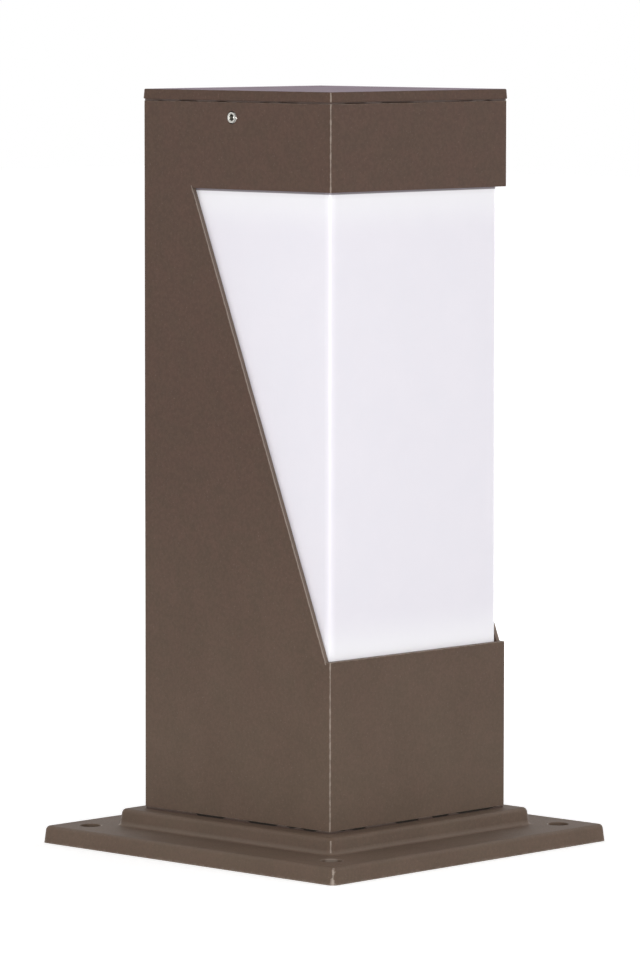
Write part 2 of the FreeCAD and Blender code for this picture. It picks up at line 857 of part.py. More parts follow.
def lamp_housing():
    """White flared housing that holds the driver and the LED board."""
    waist = housing_level + housing_waist
    ledge = housing_rim - led_board_drop - led_board_thickness
    return turned(
        [
            line((lamp_cap_inner_radius, housing_level), (lamp_neck_radius, housing_level)),
            arc(
                (lamp_neck_radius, housing_level),
                (housing_waist_radius, waist),
                (lamp_shoulder_radius, housing_rim),
            ),
            line((lamp_shoulder_radius, housing_rim), (led_board_radius, housing_rim)),
            line((led_board_radius, housing_rim), (led_board_radius, ledge)),
            arc(
                (led_board_radius, ledge),
                (housing_waist_radius - lamp_housing_wall, waist),
                (lamp_cap_inner_radius, housing_level),
            ),
        ]
    )


def lamp_led_board():
    """Round aluminium board that carries the LEDs."""
    top = housing_rim - led_board_drop
    return cylinder(led_board_radius - running_fit, top - led_board_thickness, top)


def lamp_leds():
    """Ring of surface mounted LEDs."""
    bottom = housing_rim - led_board_drop
    half = led_side / 2
    leds = []
    for number in range(led_count):
        led = box(
            (led_ring_radius - half, -half, bottom),
            (led_ring_radius + half, half, bottom + led_thickness),
        )
        led.rotate(Vector(0, 0, 0), Vector(0, 0, 1), 360 / led_count * number)
        leds.append(led)
    return Part.makeCompound(leds)


def lamp_driver_board():
    """Circuit board that hangs from the LED board, down into the screw cap."""
    top = housing_rim - led_board_drop - led_board_thickness
    return box(
        (-driver_width / 2, -driver_thickness / 2, top - driver_length),
        (driver_width / 2, driver_thickness / 2, top),
    )


def lamp_globe():
    """Opal globe on the housing's rim."""
    centre = housing_rim + globe_rise
    inner_radius = globe_radius - globe_wall
    inner_rim = math.sqrt(inner_radius ** 2 - globe_rise ** 2)
    diagonal = math.sqrt(0.5)
    outer = arc(
        (globe_rim_radius, housing_rim),
        (globe_radius * diagonal, centre + globe_radius * diagonal),
        (0, centre + globe_radius),
    )
    inner = arc(
        (0, centre + inner_radius),
        (inner_radius * diagonal, centre + inner_radius * diagonal),
        (inner_rim, housing_rim),
    )
    crown = line((0, centre + globe_radius), (0, centre + inner_radius))
    rim = line((inner_rim, housing_rim), (globe_rim_radius, housing_rim))
    return turned([outer, crown, inner, rim])


# ---- terminals, wires and earth ---------------------------------------------------------------------
def pole_places():
    return [-pole_pitch, 0.0, pole_pitch]


def block_screw_places():
    return [(-pole_pitch / 2, block_y), (pole_pitch / 2, block_y)]


def clamp_places():
    offsets = (-pole_screw_spread / 2, pole_screw_spread / 2)
    return [(x, block_y + offset) for x in pole_places() for offset in offsets]


def along_block(radius, x, overshoot):
    """Bar along Y through the block at wire height."""
    start = Vector(x, block_y - block_depth / 2 - overshoot, wire_height)
    return Part.makeCylinder(radius, block_depth + 2 * overshoot, start, Vector(0, 1, 0))


def terminal_block():
    """Three-pole terminal block."""
    outline = rounded_rectangle(block_length, block_depth, block_edge, tray_top, 0, block_y)
    block = prism(outline, block_height)
    block = round_edges(block, block_edge / 2, lambda edge: is_level(edge, tray_top + block_height))
    top = tray_top + block_height + cut_over
    tools = [along_block(contact_tube_radius + running_fit, x, cut_over) for x in pole_places()]
    for x, y in clamp_places():
        tools.append(cylinder(clamp_head_radius + screw_clearance, wire_height, top, x, y))
    for x, y in block_screw_places():
        tools.append(bore(block_screw_radius + screw_clearance, tray_top, tray_top + block_height, x, y))
    return cut_all(block, tools)


def terminal_tubes():
    """Brass tubes in the block that join the wires of each pole."""
    tubes = []
    for x in pole_places():
        tube = along_block(contact_tube_radius, x, -block_tube_inset)
        tube = tube.cut(along_block(contact_tube_bore, x, cut_over))
        for clamp_x, y in clamp_places():
            top = wire_height + 2 * contact_tube_radius
            tube = tube.cut(cylinder(clamp_screw_radius + thread_fit, wire_height, top, clamp_x, y))
        tubes.append(tube)
    return Part.makeCompound(tubes)


def terminal_screws():
    """Clamp screws, two to a pole, that stop on the wires."""
    seat = wire_height + contact_tube_radius + 2 * running_fit
    length = seat - wire_height - wire_radius - 2 * running_fit
    screw = machine_screw(clamp_screw_radius, length, clamp_head_radius, clamp_head_height, clamp_socket)
    return at_places(screw, clamp_places(), seat)


def small_screw(grip):
    """Screw tapped into the tray, that clamps a piece of the given thickness."""
    length = grip + block_screw_grip
    return machine_screw(
        block_screw_radius,
        length,
        block_screw_head_radius,
        clamp_head_height,
        block_screw_socket,
    )


def block_screws():
    """Screws that hold the terminal block on the tray."""
    return at_places(small_screw(block_height), block_screw_places(), tray_top + block_height)


def wire_end_level():
    """Where a wire ends inside its post in the lampholder."""
    return tray_top + holder_cavity_height - post_bore_roof - wire_end_gap


def wire_to_post(pole_x, post_x):
    """Wire from a pole, through the notch in the lampholder's foot, up into a post."""
    inside_y = -wire_turn_share * holder_cavity_radius
    return bent_wire(
        [
            (pole_x, block_y, wire_height),
            (pole_x, inside_y, wire_height),
            (post_x, 0, wire_height + wire_lift),
            (post_x, 0, wire_end_level()),
        ],
        wire_radius,
    )


def live_wire():
    return wire_to_post(0.0, contact_post_x)


def neutral_wire():
    return wire_to_post(-pole_pitch, sleeve_post_x)


def earth_lug_reach():
    """Unit vector from the earth screw back towards the terminal block's earth pole."""
    aim = Vector(pole_pitch + earth_wire_aim, block_front + earth_wire_exit, 0)
    return (aim - Vector(earth_x, earth_y, 0)).normalize()


def earth_wire():
    """Wire from the third pole to the lug on the tray."""
    back = earth_lug_reach()
    end = Vector(earth_x, earth_y, 0) + back * (lug_radius + lug_wire_start)
    level = tray_top + lug_thickness + wire_radius + running_fit
    approach = end + back * lug_wire_run
    return bent_wire(
        [
            (pole_pitch, block_y, wire_height),
            (pole_pitch, block_front + earth_wire_exit, wire_height),
            (approach.x, approach.y, level),
            (end.x, end.y, level),
        ],
        wire_radius,
    )


def earth_lug():
    """Ring lug, with the barrel that is crimped on the earth wire."""
    back = earth_lug_reach()
    centre = Vector(earth_x, earth_y, tray_top)
    ring = cylinder(lug_radius, tray_top, tray_top + lug_thickness, earth_x, earth_y)
    half_tongue = wire_radius + lug_wall
    tongue = box((0, -half_tongue, 0), (lug_radius + lug_barrel, half_tongue, lug_thickness))
    barrel_level = lug_thickness + wire_radius + running_fit
    barrel = Part.makeCylinder(half_tongue, lug_barrel, Vector(lug_radius, 0, barrel_level), Vector(1, 0, 0))
    wire_hole = Part.makeCylinder(
        wire_radius + running_fit,
        lug_barrel + 2 * cut_over,
        Vector(lug_radius - cut_over, 0, barrel_level),
        Vector(1, 0, 0),
    )
    arm = tongue.fuse(barrel).cut(wire_hole)
    arm = arm.cut(box((0, -lug_radius, lug_thickness), (lug_radius, lug_radius, 4 * lug_radius)))
    arm.rotate(Vector(0, 0, 0), Vector(0, 0, 1), math.degrees(math.atan2(back.y, back.x)))
    arm.translate(centre)
    lug = ring.fuse(arm).removeSplitter()
    return lug.cut(bore(block_screw_radius + screw_clearance, tray_top, tray_top, earth_x, earth_y))


def earth_screw():
    """Screw that bonds the lug to the tray."""
    return moved(small_screw(lug_thickness), earth_x, earth_y, tray_top + lug_thickness)


# ---- diffuser ---------------------------------------------------------------------------------------
def seal_ring(bottom):
    """Flat rubber ring of the diffuser's section."""
    return square_ring(
        diffuser_half,
        diffuser_inner_half,
        bottom,
        bottom + seal_thickness,
        diffuser_corner,
        diffuser_inner_corner,
    )


def diffuser_lower_seal():
    """Ring on the tray under the diffuser."""
    return seal_ring(tray_top)


def diffuser_upper_seal():
    """Ring under the cap's skirt, above the diffuser."""
    return seal_ring(skirt_bottom - seal_thickness)


def diffuser():
    """Opal acrylic square tube, open at both ends."""
    return square_ring(
        diffuser_half,
        diffuser_inner_half,
        diffuser_bottom,
        diffuser_top,
        diffuser_corner,
        diffuser_inner_corner,
    )


# ---- cap --------------------------------------------------------------------------------------------
def top_cap():
    """Flat cap with a square skirt inside the column and a groove for each cap screw."""
    side = column_side + 2 * cap_overhang
    plate = drafted_block(side, cap_draft, cap_corner, cap_underside, overall_height)
    plate = round_edges(plate, cap_top_edge, lambda edge: is_level(edge, overall_height))
    plate = round_edges(plate, cap_bottom_edge, lambda edge: is_level(edge, cap_underside))
    skirt = prism(square(2 * skirt_half, skirt_corner, skirt_bottom), skirt_depth)
    skirt = skirt.makeChamfer(skirt_lead_in, [edge for edge in skirt.Edges if is_level(edge, skirt_bottom)])
    inside = prism(
        square(2 * (skirt_half - skirt_wall), skirt_inner_corner, skirt_bottom - cut_over),
        skirt_depth + cut_over,
    )
    cap = plate.fuse(skirt).cut(inside)
    half_width = cap_screw_radius + skirt_gap
    groove_floor = cap_screw_tip - rest_gap
    for side in (-1, 1):
        near = side * groove_floor
        far = side * (skirt_half + cut_over)
        groove = box(
            (min(near, far), cap_screw_y - half_width, skirt_bottom - cut_over),
            (max(near, far), cap_screw_y + half_width, cap_screw_level + half_width),
        )
        cap = cap.cut(groove)
    return cap


def cap_gasket():
    """Thin rubber ring round the skirt, set back in the shadow joint."""
    return square_ring(
        column_half - cap_joint_depth,
        skirt_half,
        cap_underside - cap_joint + rest_gap,
        cap_underside,
        1.0,
        skirt_corner,
    )


def cap_screw(side):
    """Socket set screw in the column's wall; its flat tip stops on the floor of the skirt's groove."""
    screw = cylinder(cap_screw_radius, 0, cap_screw_length)
    rims = [edge for edge in screw.Edges if edge.Curve.TypeId == "Part::GeomCircle"]
    screw = screw.makeChamfer(cap_screw_edge, rims)
    socket_floor = cap_screw_length - cap_screw_socket_depth
    screw = screw.cut(hexagon(cap_screw_socket, socket_floor, cap_screw_length + cut_over))
    screw.rotate(Vector(0, 0, 0), Vector(0, 1, 0), 90 * side)
    screw.translate(Vector(side * cap_screw_tip, cap_screw_y, cap_screw_level))
    return screw


def cap_screw_left():
    return cap_screw(-1)


def cap_screw_right():
    return cap_screw(1)


SUB_PARTS = [
    base_casting,
    foot_gasket,
    column_shell,
    foot_cleats,
    column_washers,
    column_screws,
    tray_pillars,
    gland_body,
    gland_seal,
    gland_nut,
    gland_locknut,
    gear_tray,
    tray_screws,
    tray_grommet,
    lampholder_body,
    lampholder_sleeve,
    lampholder_contact,
    lampholder_posts,
    lampholder_screws,
    lampholder_nuts,
    lamp_tip,
    lamp_insulator,
    lamp_screw_cap,
    lamp_housing,
    lamp_led_board,
    lamp_leds,
    lamp_driver_board,
    lamp_globe,
    terminal_block,
    terminal_tubes,
    terminal_screws,
    block_screws,
    live_wire,
    neutral_wire,
    earth_wire,
    earth_lug,
    earth_screw,
    diffuser_lower_seal,
    diffuser_upper_seal,
    diffuser,
    top_cap,
    cap_gasket,
    cap_screw_left,
    cap_screw_right,
]


def main():
    os.makedirs("parts", exist_ok=True)
    for sub_part in SUB_PARTS:
        shape = sub_part()
        name = sub_part.__name__
        shape.exportStep("parts/" + name + ".step")
        print(name, len(shape.Solids), "solids,", round(shape.Volume), "mm3, valid:", shape.isValid())


main()
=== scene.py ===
import json
import math

import bmesh
import bpy
from mathutils import Matrix, Vector, noise

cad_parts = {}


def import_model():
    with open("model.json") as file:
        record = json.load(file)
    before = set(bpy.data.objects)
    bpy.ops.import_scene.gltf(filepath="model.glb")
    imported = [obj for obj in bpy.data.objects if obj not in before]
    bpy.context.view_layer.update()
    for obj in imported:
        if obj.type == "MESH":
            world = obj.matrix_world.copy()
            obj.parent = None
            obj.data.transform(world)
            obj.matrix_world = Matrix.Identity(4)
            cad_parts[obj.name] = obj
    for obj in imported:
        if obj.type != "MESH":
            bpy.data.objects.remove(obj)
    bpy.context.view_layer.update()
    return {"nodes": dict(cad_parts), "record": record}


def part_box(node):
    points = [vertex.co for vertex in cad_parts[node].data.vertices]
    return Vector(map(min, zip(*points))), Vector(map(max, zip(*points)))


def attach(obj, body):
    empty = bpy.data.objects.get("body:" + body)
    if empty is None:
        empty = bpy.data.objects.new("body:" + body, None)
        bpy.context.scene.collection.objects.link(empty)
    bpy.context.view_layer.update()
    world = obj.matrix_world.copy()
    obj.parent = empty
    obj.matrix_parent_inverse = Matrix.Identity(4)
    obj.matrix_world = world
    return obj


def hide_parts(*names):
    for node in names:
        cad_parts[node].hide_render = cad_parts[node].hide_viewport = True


# The looks of a square bollard light: powder-coated aluminium round an opal tube. Metres, +Z up; the
# window faces -Y. Places come from the boxes of the frame's parts, and the sizes that those boxes don't
# give are named below.

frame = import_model()

MM = 0.001
SHARP_ANGLE = math.radians(38)

# ---- places read from the frame ---------------------------------------------------------------------
COLUMN_LOW, COLUMN_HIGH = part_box("column_shell")
BASE_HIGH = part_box("base_casting")[1]
CAP_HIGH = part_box("top_cap")[1]
COLUMN_HALF = COLUMN_HIGH.x
BASE_HALF = BASE_HIGH.x
CAP_HALF = CAP_HIGH.x
BASE_TOP = BASE_HIGH.z
COLUMN_FOOT = COLUMN_LOW.z
COLUMN_TOP = COLUMN_HIGH.z
HEIGHT = CAP_HIGH.z

# ---- sizes that the boxes don't give ----------------------------------------------------------------
SILL = COLUMN_FOOT + 66.0 * MM
LINTEL = COLUMN_TOP - 33.95 * MM
CUT_FOOT = -COLUMN_HALF + 2.8 * MM
CUT_HEAD = COLUMN_HALF - 26.8 * MM
PLATE_TOP = 6.8 * MM
PLATE_LEAN = 0.9 * MM
STEP_HALF = 58.9 * MM
STEP_LEAN = 1.3 * MM
STEP_ROOT = 1.1 * MM
ANCHOR_PLACE = 66.0 * MM
ANCHOR_RADIUS = 4.25 * MM
COLUMN_CORNER = 0.8 * MM
CAP_PLATE = 3.9 * MM
CAP_LEAN = 0.35 * MM
CAP_CORNER = 1.0 * MM
BASE_CORNER = 2.0 * MM
COLUMN_WALL = 2.0 * MM
M5_PITCH = 0.8 * MM
M5_THREAD_DEPTH = 0.42 * MM
SOCKET_ACROSS = 2.5 * MM
SOCKET_DEPTH = 2.3 * MM
SET_SCREW_CHAMFER = 0.35 * MM
LAMP_THREAD_PITCH = 3.629 * MM
LAMP_THREAD_CREST = 13.2 * MM
LAMP_THREAD_ROOT = 12.3 * MM
ROUND_THREAD = {"count": 64, "steps": 10, "rounded": True, "run_out": 0.8}
LAMP_CAP_WALL = 0.4 * MM
SOCKET_GAP = 0.25 * MM
SLEEVE_WALL = 0.5 * MM
SLEEVE_OPENING = 9.45 * MM
PILLAR_X = 38.0 * MM
PILLAR_Y = 34.0 * MM
PILLAR_ACROSS = 9.0 * MM
PILLAR_BORE_DEPTH = 12.0 * MM
COLUMN_SCREW_RADIUS = 2.5 * MM
COLUMN_SCREW_HEAD = 3.5 * MM
COLUMN_SCREW_ACROSS = 8.0 * MM
TRAY_SCREW_RADIUS = 2.05 * MM
GLAND_ACROSS = 22.0 * MM
GLAND_TAIL = 7.9 * MM
GLAND_NECK = 9.2 * MM
GLAND_BORE = 5.6 * MM
GLAND_SEAL_SEAT = 7.25 * MM
GLAND_SEAL_DEPTH = 7.95 * MM
GLAND_PITCH = 1.5 * MM
GLAND_THREAD_DEPTH = 0.8 * MM
GLAND_BEVEL = 0.6 * MM
GLAND_DOME = 2.4 * MM
THREAD_FIT = 0.05 * MM
REST_GAP = 0.25 * MM
WELD_LENGTH = 16.0 * MM
WELD_RIPPLES = 12
WELD_STEPS = 64
WELD_PLACES = (-0.027, 0.0, 0.027)
WELD_OFF_WALL = 1.0 * MM

# ---- beads of coating in the joints -----------------------------------------------------------------
BEAD_ROUGHNESS = 210.0  # waves per metre
BEAD_BREAKS = 95.0  # waves per metre
BEAD_BREAK_DEPTH = 7.0
BEAD_INSET = 0.16 * MM
BEAD_INNER = 1.7 * MM
BEAD_CLEAR_FROM = 3.0 * MM
BEAD_CLEAR_OVER = 6.0 * MM
BEAD_EDGE = 0.1 * MM
BEAD_SIDE_STEPS = 150
BEAD_CORNER_STEPS = 7
FOOT_SLOT = 0.74 * MM
CAP_BEAD_LOW = COLUMN_TOP + 0.04 * MM
CAP_BEAD_HIGH = COLUMN_TOP + 0.65 * MM
CAP_SLOT = 0.24 * MM

# ---- stage ------------------------------------------------------------------------------------------
CAMERA_AZIMUTH = math.radians(-46.567)
CAMERA_ELEVATION = math.radians(4.998)
CAMERA_ROLL = math.radians(0.057)
CAMERA_DISTANCE = 2.276
CAMERA_SIDE = -0.00204
CAMERA_RISE = 0.14436
FOCAL_LENGTH_IN_PICTURE_HEIGHTS = 5.935
SENSOR = 36.0
WORLD_GLOW = 0.27
FLOOR_REACH = 6.0
FLOOR_GLOW_NEAR = 0.48
FLOOR_GLOW_FAR = 0.8
FLOOR_NEAR = 0.12
FLOOR_FAR = 0.9
AIM_HEIGHT = 0.3 * HEIGHT
# Name, azimuth in degrees, height, distance, size, power in watts.
SOFT_BOXES = (
    ("soft_box_front", -46.6, 0.24, 1.6, 0.45, 10.8),
    ("soft_box_left", -112.0, 0.42, 1.4, 0.8, 3.8),
    ("soft_box_right", 19.0, 0.42, 1.4, 0.8, 3.9),
    ("soft_box_back_right", 90.0, 0.42, 1.4, 0.8, 6.5),
    ("soft_box_back_left", 176.0, 0.42, 1.4, 0.8, 6.5),
    ("soft_box_top", -46.0, 1.9, 0.5, 1.2, 5.0),
)

# ---- finishes ---------------------------------------------------------------------------------------
BROWN = (0.0765, 0.0430, 0.0297)
BROWN_WARM = (0.087, 0.047, 0.033)
BROWN_GREEN = (0.071, 0.0445, 0.0285)
# Pale tone of thin or worn coat, used too for the painted highlights and painted light.
THIN_COAT_AND_PAINTED_LIGHT = (0.40, 0.335, 0.285)
# Paler tint of the faces that look up: dust, with a painted reflection of the bright surroundings.
DUST_AND_REFLECTION_TINT = (0.30, 0.25, 0.30)
DUST_HAZE = (0.86, 0.68, 1.0)
# Painted light: the coat is painted paler towards the ground, where light bounced off the floor falls.
PAINTED_BOUNCE_COLOUR = (0.35, 0.285, 0.20)
PAINTED_BOUNCE_HEIGHT = 190.0 * MM
COLUMN_LINE = 0.34 * MM
COLUMN_BAND = 0.35 * MM
CAP_LINE = 0.3 * MM
PLATE_LINE = 0.8 * MM
STEP_LINE = 0.4 * MM
STEP_LINE_START = 1.0 * MM
STEP_LINE_END = 1.2 * MM
BASE_BAND = 0.9 * MM
TONE_SHARE = 0.3
SPECK_SHARE = 0.10
WORN_EDGE_SHARE = 0.30
PAINTED_BOUNCE_SHARE = 0.125
OPAL = (0.835, 0.815, 0.88)
OPAL_LIGHTER = (0.865, 0.835, 0.895)
# Painted light: the opal is painted paler at both ends of the window, over the fade length below.
OPAL_PAINTED_LIGHT = (0.945, 0.935, 0.97)
OPAL_FADE = 24.0 * MM
# Painted shadow on the opal right under the lintel.
OPAL_PAINTED_SHADOW = (0.13, 0.10, 0.12)
JOINT_COATING = (0.060, 0.034, 0.024)
EARTH_GREEN = (0.02, 0.22, 0.04)
EARTH_YELLOW = (0.75, 0.62, 0.03)

# Noise scales, in waves per metre.
PEEL = 800.0
GRIT = 2600.0
SPECKS = 1500.0
MOTTLE = 110.0
WORN_RAGGED = 420.0
DUST_AND_REFLECTION_PATCHES = 24.0
PAINTED_BOUNCE_PATCHES = 28.0
SLOW_TONE = 60.0
TARNISH_BLOTCHES = 90.0
OPAL_CLOUDS = 35.0
COPPER_CELLS = 260.0

# Colour, roughness, waves per metre along X, Y and Z, tarnish.
METALS = {
    "stainless_steel": ((0.40, 0.39, 0.365), 0.24, (80.0, 2600.0, 2600.0), (0.33, 0.315, 0.29)),
    "zinc_steel": ((0.60, 0.61, 0.62), 0.34, (1800.0, 120.0, 300.0), (0.42, 0.44, 0.45)),
    "mill_aluminium": ((0.72, 0.73, 0.74), 0.36, (1400.0, 1400.0, 50.0), (0.55, 0.56, 0.57)),
    "brass": ((0.76, 0.56, 0.26), 0.26, (900.0, 90.0, 900.0), (0.42, 0.27, 0.10)),
    "nickel_plate": ((0.74, 0.71, 0.66), 0.20, (90.0, 90.0, 1500.0), (0.55, 0.50, 0.43)),
}
RUBBER_SHINE = {"Specular_IOR_Level": 0.2}
GLAZE = {"Coat_Weight": 0.6, "Coat_Roughness": 0.06}
# Colour, roughness, grain in waves per metre, depth of the grain in metres, other values of the shader.
MOULDED = {
    "black_rubber": ((0.024, 0.019, 0.015), 0.80, 2600.0, 0.00006, RUBBER_SHINE),
    "clear_silicone": ((0.74, 0.74, 0.72), 0.45, 1200.0, 0.00003, {}),
    "black_nylon": ((0.040, 0.040, 0.043), 0.48, 2200.0, 0.00005, {}),
    "white_porcelain": ((0.84, 0.83, 0.79), 0.14, 160.0, 0.0001, GLAZE),
    "lamp_white": ((0.86, 0.86, 0.85), 0.38, 2000.0, 0.00003, {}),
    "lamp_opal": ((0.88, 0.88, 0.86), 0.34, 1500.0, 0.00002, {}),
    "dark_glass": ((0.020, 0.017, 0.022), 0.12, 500.0, 0.00004, {}),
    "led_phosphor": ((0.86, 0.62, 0.10), 0.32, 3000.0, 0.00002, {}),
    "natural_nylon": ((0.78, 0.76, 0.68), 0.40, 1600.0, 0.00003, {}),
    "brown_insulation": ((0.14, 0.06, 0.03), 0.42, 2500.0, 0.00002, {}),
    "blue_insulation": ((0.02, 0.08, 0.40), 0.42, 2500.0, 0.00002, {}),
}
# Solder mask, copper.
BOARDS = {
    "white_board": ((0.84, 0.84, 0.82), (0.70, 0.62, 0.48)),
    "green_board": ((0.02, 0.16, 0.06), (0.20, 0.32, 0.12)),
}


# ---- node tree helpers ------------------------------------------------------------------------------
def add(tree, kind, settings=None, **sockets):
    """New node; sockets are set by name or as _number, to a value or to another node's output."""
    node = tree.nodes.new(kind)
    for name, value in (settings or {}).items():
        setattr(node, name, value)
    for name, value in sockets.items():
        key = int(name[1:]) if name[0] == "_" and name[1:].isdigit() else name.replace("_", " ")
        put(tree, node.inputs[key], value)
    return node


def put(tree, socket, value):
    """Set a socket, or link an output to it."""
    if isinstance(value, bpy.types.NodeSocket):
        tree.links.new(value, socket)
    elif isinstance(value, (tuple, list)) and len(value) == 3 and socket.type == "RGBA":
        socket.default_value = (*value, 1.0)
    else:
        socket.default_value = value


def math_node(tree, operation, first, second=0.0, clamp=False):
    """Output of a Math node."""
    settings = {"operation": operation, "use_clamp": clamp}
    return add(tree, "ShaderNodeMath", settings, _0=first, _1=second).outputs[0]


def ramp(tree, value, low, high, to_low=0.0, to_high=1.0):
    """Smooth step of a value from to_low to to_high."""
    node = add(
        tree,
        "ShaderNodeMapRange",
        {"interpolation_type": "SMOOTHSTEP"},
        Value=value,
        From_Min=low,
        From_Max=high,
        To_Min=to_low,
        To_Max=to_high,
    )
    return node.outputs[0]


def mix(tree, share, first, second):
    """Colour between two colours."""
    node = add(tree, "ShaderNodeMix", {"data_type": "RGBA"})
    put(tree, node.inputs[0], share)
    put(tree, node.inputs[6], first)
    put(tree, node.inputs[7], second)
    return node.outputs[2]


def cover(tree, colour, over, mask, share):
    """Colour with a share of another one over it, as far as the mask goes."""
    return mix(tree, math_node(tree, "MULTIPLY", mask, share), colour, over)


def mix_number(tree, share, first, second):
    """Number between two numbers."""
    node = add(tree, "ShaderNodeMix", {"data_type": "FLOAT"})
    put(tree, node.inputs[0], share)
    put(tree, node.inputs[2], first)
    put(tree, node.inputs[3], second)
    return node.outputs[0]


def object_place(tree):
    """Place on the object, in the frame's metres."""
    return add(tree, "ShaderNodeTexCoord").outputs["Object"]


def axes(tree, vector):
    """X, Y and Z of a place or a direction."""
    return add(tree, "ShaderNodeSeparateXYZ", Vector=vector).outputs


def noise_texture(tree, place, scale, detail=2.0, roughness=0.5):
    """Output of a noise texture, with its scale in waves per metre."""
    values = {"Vector": place, "Scale": scale, "Detail": detail, "Roughness": roughness}
    return add(tree, "ShaderNodeTexNoise", **values).outputs[0]


def group(name, inputs, outputs, build):
    """Shader node group with named sockets, built once."""
    tree = bpy.data.node_groups.new(name, "ShaderNodeTree")
    for label, kind, value in inputs:
        socket = tree.interface.new_socket(label, in_out="INPUT", socket_type=kind)
        if value is not None:
            socket.default_value = value
    for label, kind in outputs:
        tree.interface.new_socket(label, in_out="OUTPUT", socket_type=kind)
    start = tree.nodes.new("NodeGroupInput")
    end = tree.nodes.new("NodeGroupOutput")
    for label, output in build(tree, start.outputs).items():
        tree.links.new(output, end.inputs[label])
    return tree


def use(tree, node_group, **sockets):
    """Place a node group in a material."""
    node = tree.nodes.new("ShaderNodeGroup")
    node.node_tree = node_group
    for name, value in sockets.items():
        put(tree, node.inputs[name.replace("_", " ")], value)
    return node.outputs


FLOAT = "NodeSocketFloat"
VECTOR = "NodeSocketVector"
PLACE = ("Place", VECTOR, None)
BLOCK = [("Half Width", FLOAT, 0.05), ("Bottom", FLOAT, 0.0), ("Top", FLOAT, 0.3)]
WEAR = [("Width", FLOAT, 0.001), ("Ragged", FLOAT, 0.6)]


def build_powder_grain(tree, given):
    """Orange peel, fine grit and slow mottling of a powder coat."""
    place = given["Place"]
    peel = noise_texture(tree, place, PEEL, 2.0, 0.6)
    grit = noise_texture(tree, place, GRIT, 2.0, 0.6)
    coarse = math_node(tree, "MULTIPLY", peel, 0.6)
    height = math_node(tree, "ADD", coarse, math_node(tree, "MULTIPLY", grit, 0.4))
    speck = ramp(tree, noise_texture(tree, place, SPECKS, 1.0), 0.68, 0.76)
    mottle = noise_texture(tree, place, MOTTLE, 3.0, 0.55)
    return {"Height": height, "Speck": speck, "Mottle": mottle, "Grit": grit, "Peel": peel}


def worn(tree, given, distance):
    """1 on an edge, fading over a ragged width."""
    ragged = noise_texture(tree, given["Place"], WORN_RAGGED, 3.0, 0.6)
    share = mix_number(tree, given["Ragged"], 1.0, ramp(tree, ragged, 0.38, 0.64, 0.2, 1.5))
    width = math_node(tree, "MULTIPLY", given["Width"], share)
    return math_node(tree, "SUBTRACT", 1.0, math_node(tree, "DIVIDE", distance, width), clamp=True)


def build_edge_band(tree, given):
    """Band along the edges of a square block: 1 on an edge, 0 at the band's width from it."""
    place = axes(tree, given["Place"])
    gaps = [
        math_node(tree, "SUBTRACT", given["Half Width"], math_node(tree, "ABSOLUTE", place[axis]))
        for axis in (0, 1)
    ]
    above = math_node(tree, "SUBTRACT", place[2], given["Bottom"])
    below = math_node(tree, "SUBTRACT", given["Top"], place[2])
    gaps.append(math_node(tree, "MINIMUM", above, below))
    gaps = [math_node(tree, "MAXIMUM", gap, 0.0) for gap in gaps]
    total = math_node(tree, "ADD", math_node(tree, "ADD", gaps[0], gaps[1]), gaps[2])
    largest = math_node(tree, "MAXIMUM", math_node(tree, "MAXIMUM", gaps[0], gaps[1]), gaps[2])
    smallest = math_node(tree, "MINIMUM", math_node(tree, "MINIMUM", gaps[0], gaps[1]), gaps[2])
    second = math_node(tree, "SUBTRACT", math_node(tree, "SUBTRACT", total, largest), smallest)
    return {"Band": worn(tree, given, second)}


def build_corner_wear_and_highlight(tree, given):
    """Worn line down the rounded upright corners of a block whose sides may lean in; it is also a
    painted highlight on the rounding.
    """
    place = axes(tree, given["Place"])
    above = math_node(tree, "SUBTRACT", place[2], given["Bottom"])
    leaned = math_node(tree, "MULTIPLY", above, given["Slope"])
    half = math_node(tree, "SUBTRACT", given["Half Width"], leaned)
    gaps = [
        math_node(tree, "SUBTRACT", half, math_node(tree, "ABSOLUTE", place[axis]))
        for axis in (0, 1)
    ]
    distance = math_node(tree, "MAXIMUM", gaps[0], gaps[1])
    lean_left = math_node(tree, "SUBTRACT", given["Lean"], leaned)
    corner = math_node(tree, "ADD", given["Corner"], lean_left)
    rounded_off = math_node(tree, "MULTIPLY", corner, 1 - math.sqrt(0.5))
    distance = math_node(tree, "MAXIMUM", math_node(tree, "SUBTRACT", distance, rounded_off), 0.0)
    line = worn(tree, given, distance)
    inside = math_node(tree, "MULTIPLY", above, math_node(tree, "SUBTRACT", given["Top"], place[2]))
    return {"Line": math_node(tree, "MULTIPLY", line, math_node(tree, "GREATER_THAN", inside, 0.0))}


